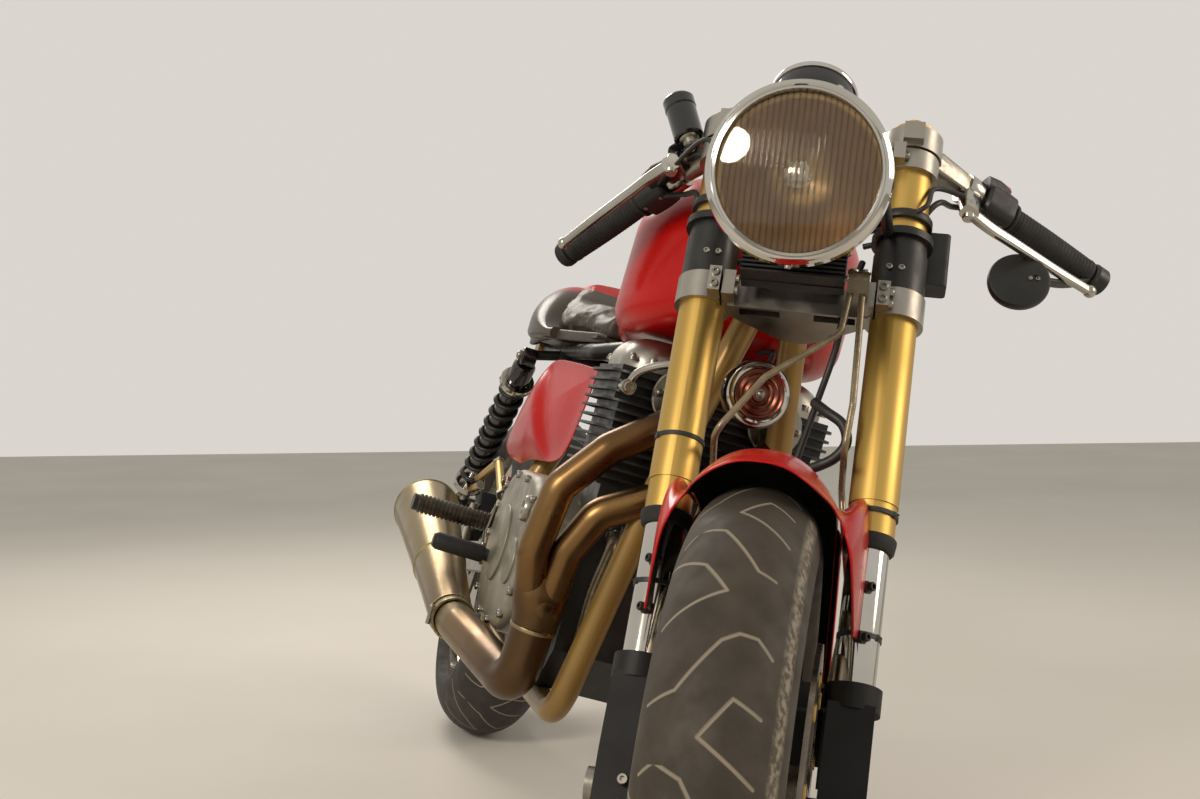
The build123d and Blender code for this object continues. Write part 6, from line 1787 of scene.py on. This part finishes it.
@dataclass
class Wheels:
    """Nipples, valves, disc buttons and caliper screws. Sizes in millimetres."""

    # Columns: body, axle axes, nipple circle, half width of the nipples' rows, disc's inner radius, discs' places
    wheels: tuple[tuple[object, ...], ...] = (
        ("front_wheel", FORK, 207.0, 9.0, 126.0, (68.0, -68.0)),
        ("rear_wheel", REAR, 207.0, 12.0, 93.5, (-88.0,)))
    nipples: int = 36
    buttons: int = 10
    caliper_turn: float = -137.0

    def build(self) -> None:
        """Build what shows at the wheels."""
        button = [(0, 0), (0, 8.5), (1.6, 8.5), (2.2, 7.4), (2.2, 3.6), (0.8, 3.2), (0.8, 0)]
        for body, axes, ring, half, disc_r, discs in self.wheels:
            nipples = Piece(body + "_nipples", body, "steel")
            for k in range(self.nipples):
                t = (k + 0.5) / self.nipples * math.tau
                out = axes.x * math.cos(t) + axes.z * math.sin(t)
                at = axes.origin + out * ring * MM + axes.y * (half if k % 2 else -half) * MM
                nipples.add(STEEL, rod(at - out * 0.012, at + out * 0.004, 3.4, 8, 4.2))
            valve = axes.origin + axes.x * 0.205
            nipples.add(STEEL, rod(valve, valve - axes.x * 0.034, 4.0, 12, 3.4))
            nipples.build()
            buttons = Piece(body + "_disc_buttons", body, "gold_anodised")
            for y in discs:
                for t in turns(self.buttons):
                    at = axes.at((disc_r * math.cos(t), y + math.copysign(2.2, y), disc_r * math.sin(t)))
                    buttons.add(GOLD, turned(button, at, math.copysign(1, y) * axes.y, 20))
            buttons.build()
        self.calipers()

    def calipers(self) -> None:
        """Screws and a gold cap on each front caliper, placed about the axle, and two screws on each fork foot."""
        screws = Piece("front_caliper_screws", FRONT, "steel")
        own = STEERED.pitched(math.radians(self.caliper_turn))
        for side in BOTH:
            for radius, along in ((134, 34), (134, -34), (162, 30), (162, -30)):
                screws.add(STEEL, bolt(own.at((radius, side * 95.5, along)), side * FORK.y, 6.4, 6.0))
            screws.add(GOLD, bolt(own.at((148, side * 95.5, 0)), side * FORK.y, 9.0, 4.0))
            for s, f in ((4, 10), (-20, 12)):
                screws.add(STEEL, bolt(FORK.at((f + 22, side * 96, s)), FORK.x, 5.2, 5.0))
        screws.build()


@dataclass
class Studio:
    """The floor, the surround, three soft lamps and the camera of the photograph."""

    floor_colour: str = "DAD6CF"
    lens: float = 43.217
    eye: Triple = (1.270509, -0.384664, 0.415146)
    ahead: Triple = (-0.978711, 0.203231, -0.028673)
    above: Triple = (-0.028221, 0.005118, 0.999589)

    def camera(self) -> None:
        """The camera, at its place from the front axle."""
        data = bpy.data.cameras.new("camera")
        data.lens, data.sensor_width, data.clip_start, data.clip_end = self.lens, 36.0, 0.01, 60.0
        camera = placed("camera", data)
        ahead, above = np.array(self.ahead), np.array(self.above)
        right = np.cross(ahead, above)
        rows = np.eye(4)
        rows[:3, 0], rows[:3, 1], rows[:3, 2], rows[:3, 3] = right, above, -ahead, FRONT_AXLE + np.array(self.eye)
        camera.matrix_world = Matrix(rows.tolist())
        bpy.context.scene.camera = camera

    def world(self) -> None:
        """A surround that lights the machine gently, and that the camera, mirrors and glass see plain and pale."""
        world = bpy.data.worlds.new("surround")
        bpy.context.scene.world = world
        tree = emptied(world)
        soft = add_node(tree, "ShaderNodeBackground", {"Color": linear("E9E4DA"), "Strength": 0.55})
        bright = add_node(tree, "ShaderNodeBackground", {"Color": linear(self.floor_colour), "Strength": 1.0})
        path = add_node(tree, "ShaderNodeLightPath").outputs
        seen = maths(tree, "MAXIMUM", path["Is Glossy Ray"], path["Is Transmission Ray"])
        seen = maths(tree, "MAXIMUM", seen, path["Is Camera Ray"])
        mixed = add_node(tree, "ShaderNodeMixShader", {0: seen, 1: soft.outputs[0], 2: bright.outputs[0]})
        add_node(tree, "ShaderNodeOutputWorld", {"Surface": mixed.outputs[0]})

    def floor(self) -> None:
        """A wide matt floor at the height of the tyres' feet."""
        mesh = bpy.data.meshes.new("floor")
        mesh.from_pydata([(-9, -9, 0), (9, -9, 0), (9, 9, 0), (-9, 9, 0)], [], [(0, 1, 2, 3)])
        floor = placed("floor", mesh)
        finish = Finish("floor_matt_paint", self.floor_colour, "D6D2CA", roughness=0.85, patch=1.2, grain=0.004,
                        relief=0.00002)
        mesh.materials.append(made(finish))

    def lamp(self, name: str, at: Triple, to: Triple, size: float,
             power: float, colour: str) -> None:
        """A round lamp looking at a point."""
        data = bpy.data.lights.new(name, "AREA")
        data.shape = "DISK"
        data.energy, data.size, data.color = power, size, linear(colour)[:3]
        lamp = placed(name, data)
        lamp.location = at
        lamp.rotation_euler = (Vector(to) - Vector(at)).to_track_quat("-Z", "Y").to_euler()

    def build(self) -> None:
        """Set up the studio."""
        self.world()
        self.floor()
        self.lamp("key_lamp", (2.5, -2.7, 2.5), (0.1, 0.0, 0.45), 0.9, 80, "FFF4E6")
        self.lamp("fill_lamp", (1.6, 2.6, 1.9), (0.2, 0.0, 0.5), 1.6, 34, "FFEFDC")
        self.lamp("back_lamp", (-2.6, -0.6, 2.6), (-0.2, 0.0, 0.5), 1.4, 40, "FFF6EC")
        self.camera()


def main() -> None:
    """Dress the machine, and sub-assembly by sub-assembly."""
    logging.basicConfig(level=logging.INFO, format="%(message)s")
    bpy.context.scene.view_settings.view_transform = "Standard"
    dress_cad()
    for part in (
            Tyre("front_tyre_tread", "front_wheel", "front_tyre", FORK, 300.0, 120.0, 216.0, 44.5, TREAD),
            Tyre("rear_tyre_tread", "rear_wheel", "rear_tyre", REAR, REAR_R, 160.0, 216.0, 58.0, REAR_TREAD),
            Headlight(),
            Fender(),
            ForkDress(),
            Cockpit(),
            SeatPad(),
            Engine(),
            Exhaust(),
            Shocks(),
            Chain(),
            Running(),
            Wheels(),
            Studio()):
        part.build()


if __name__ == "__main__":
    main()
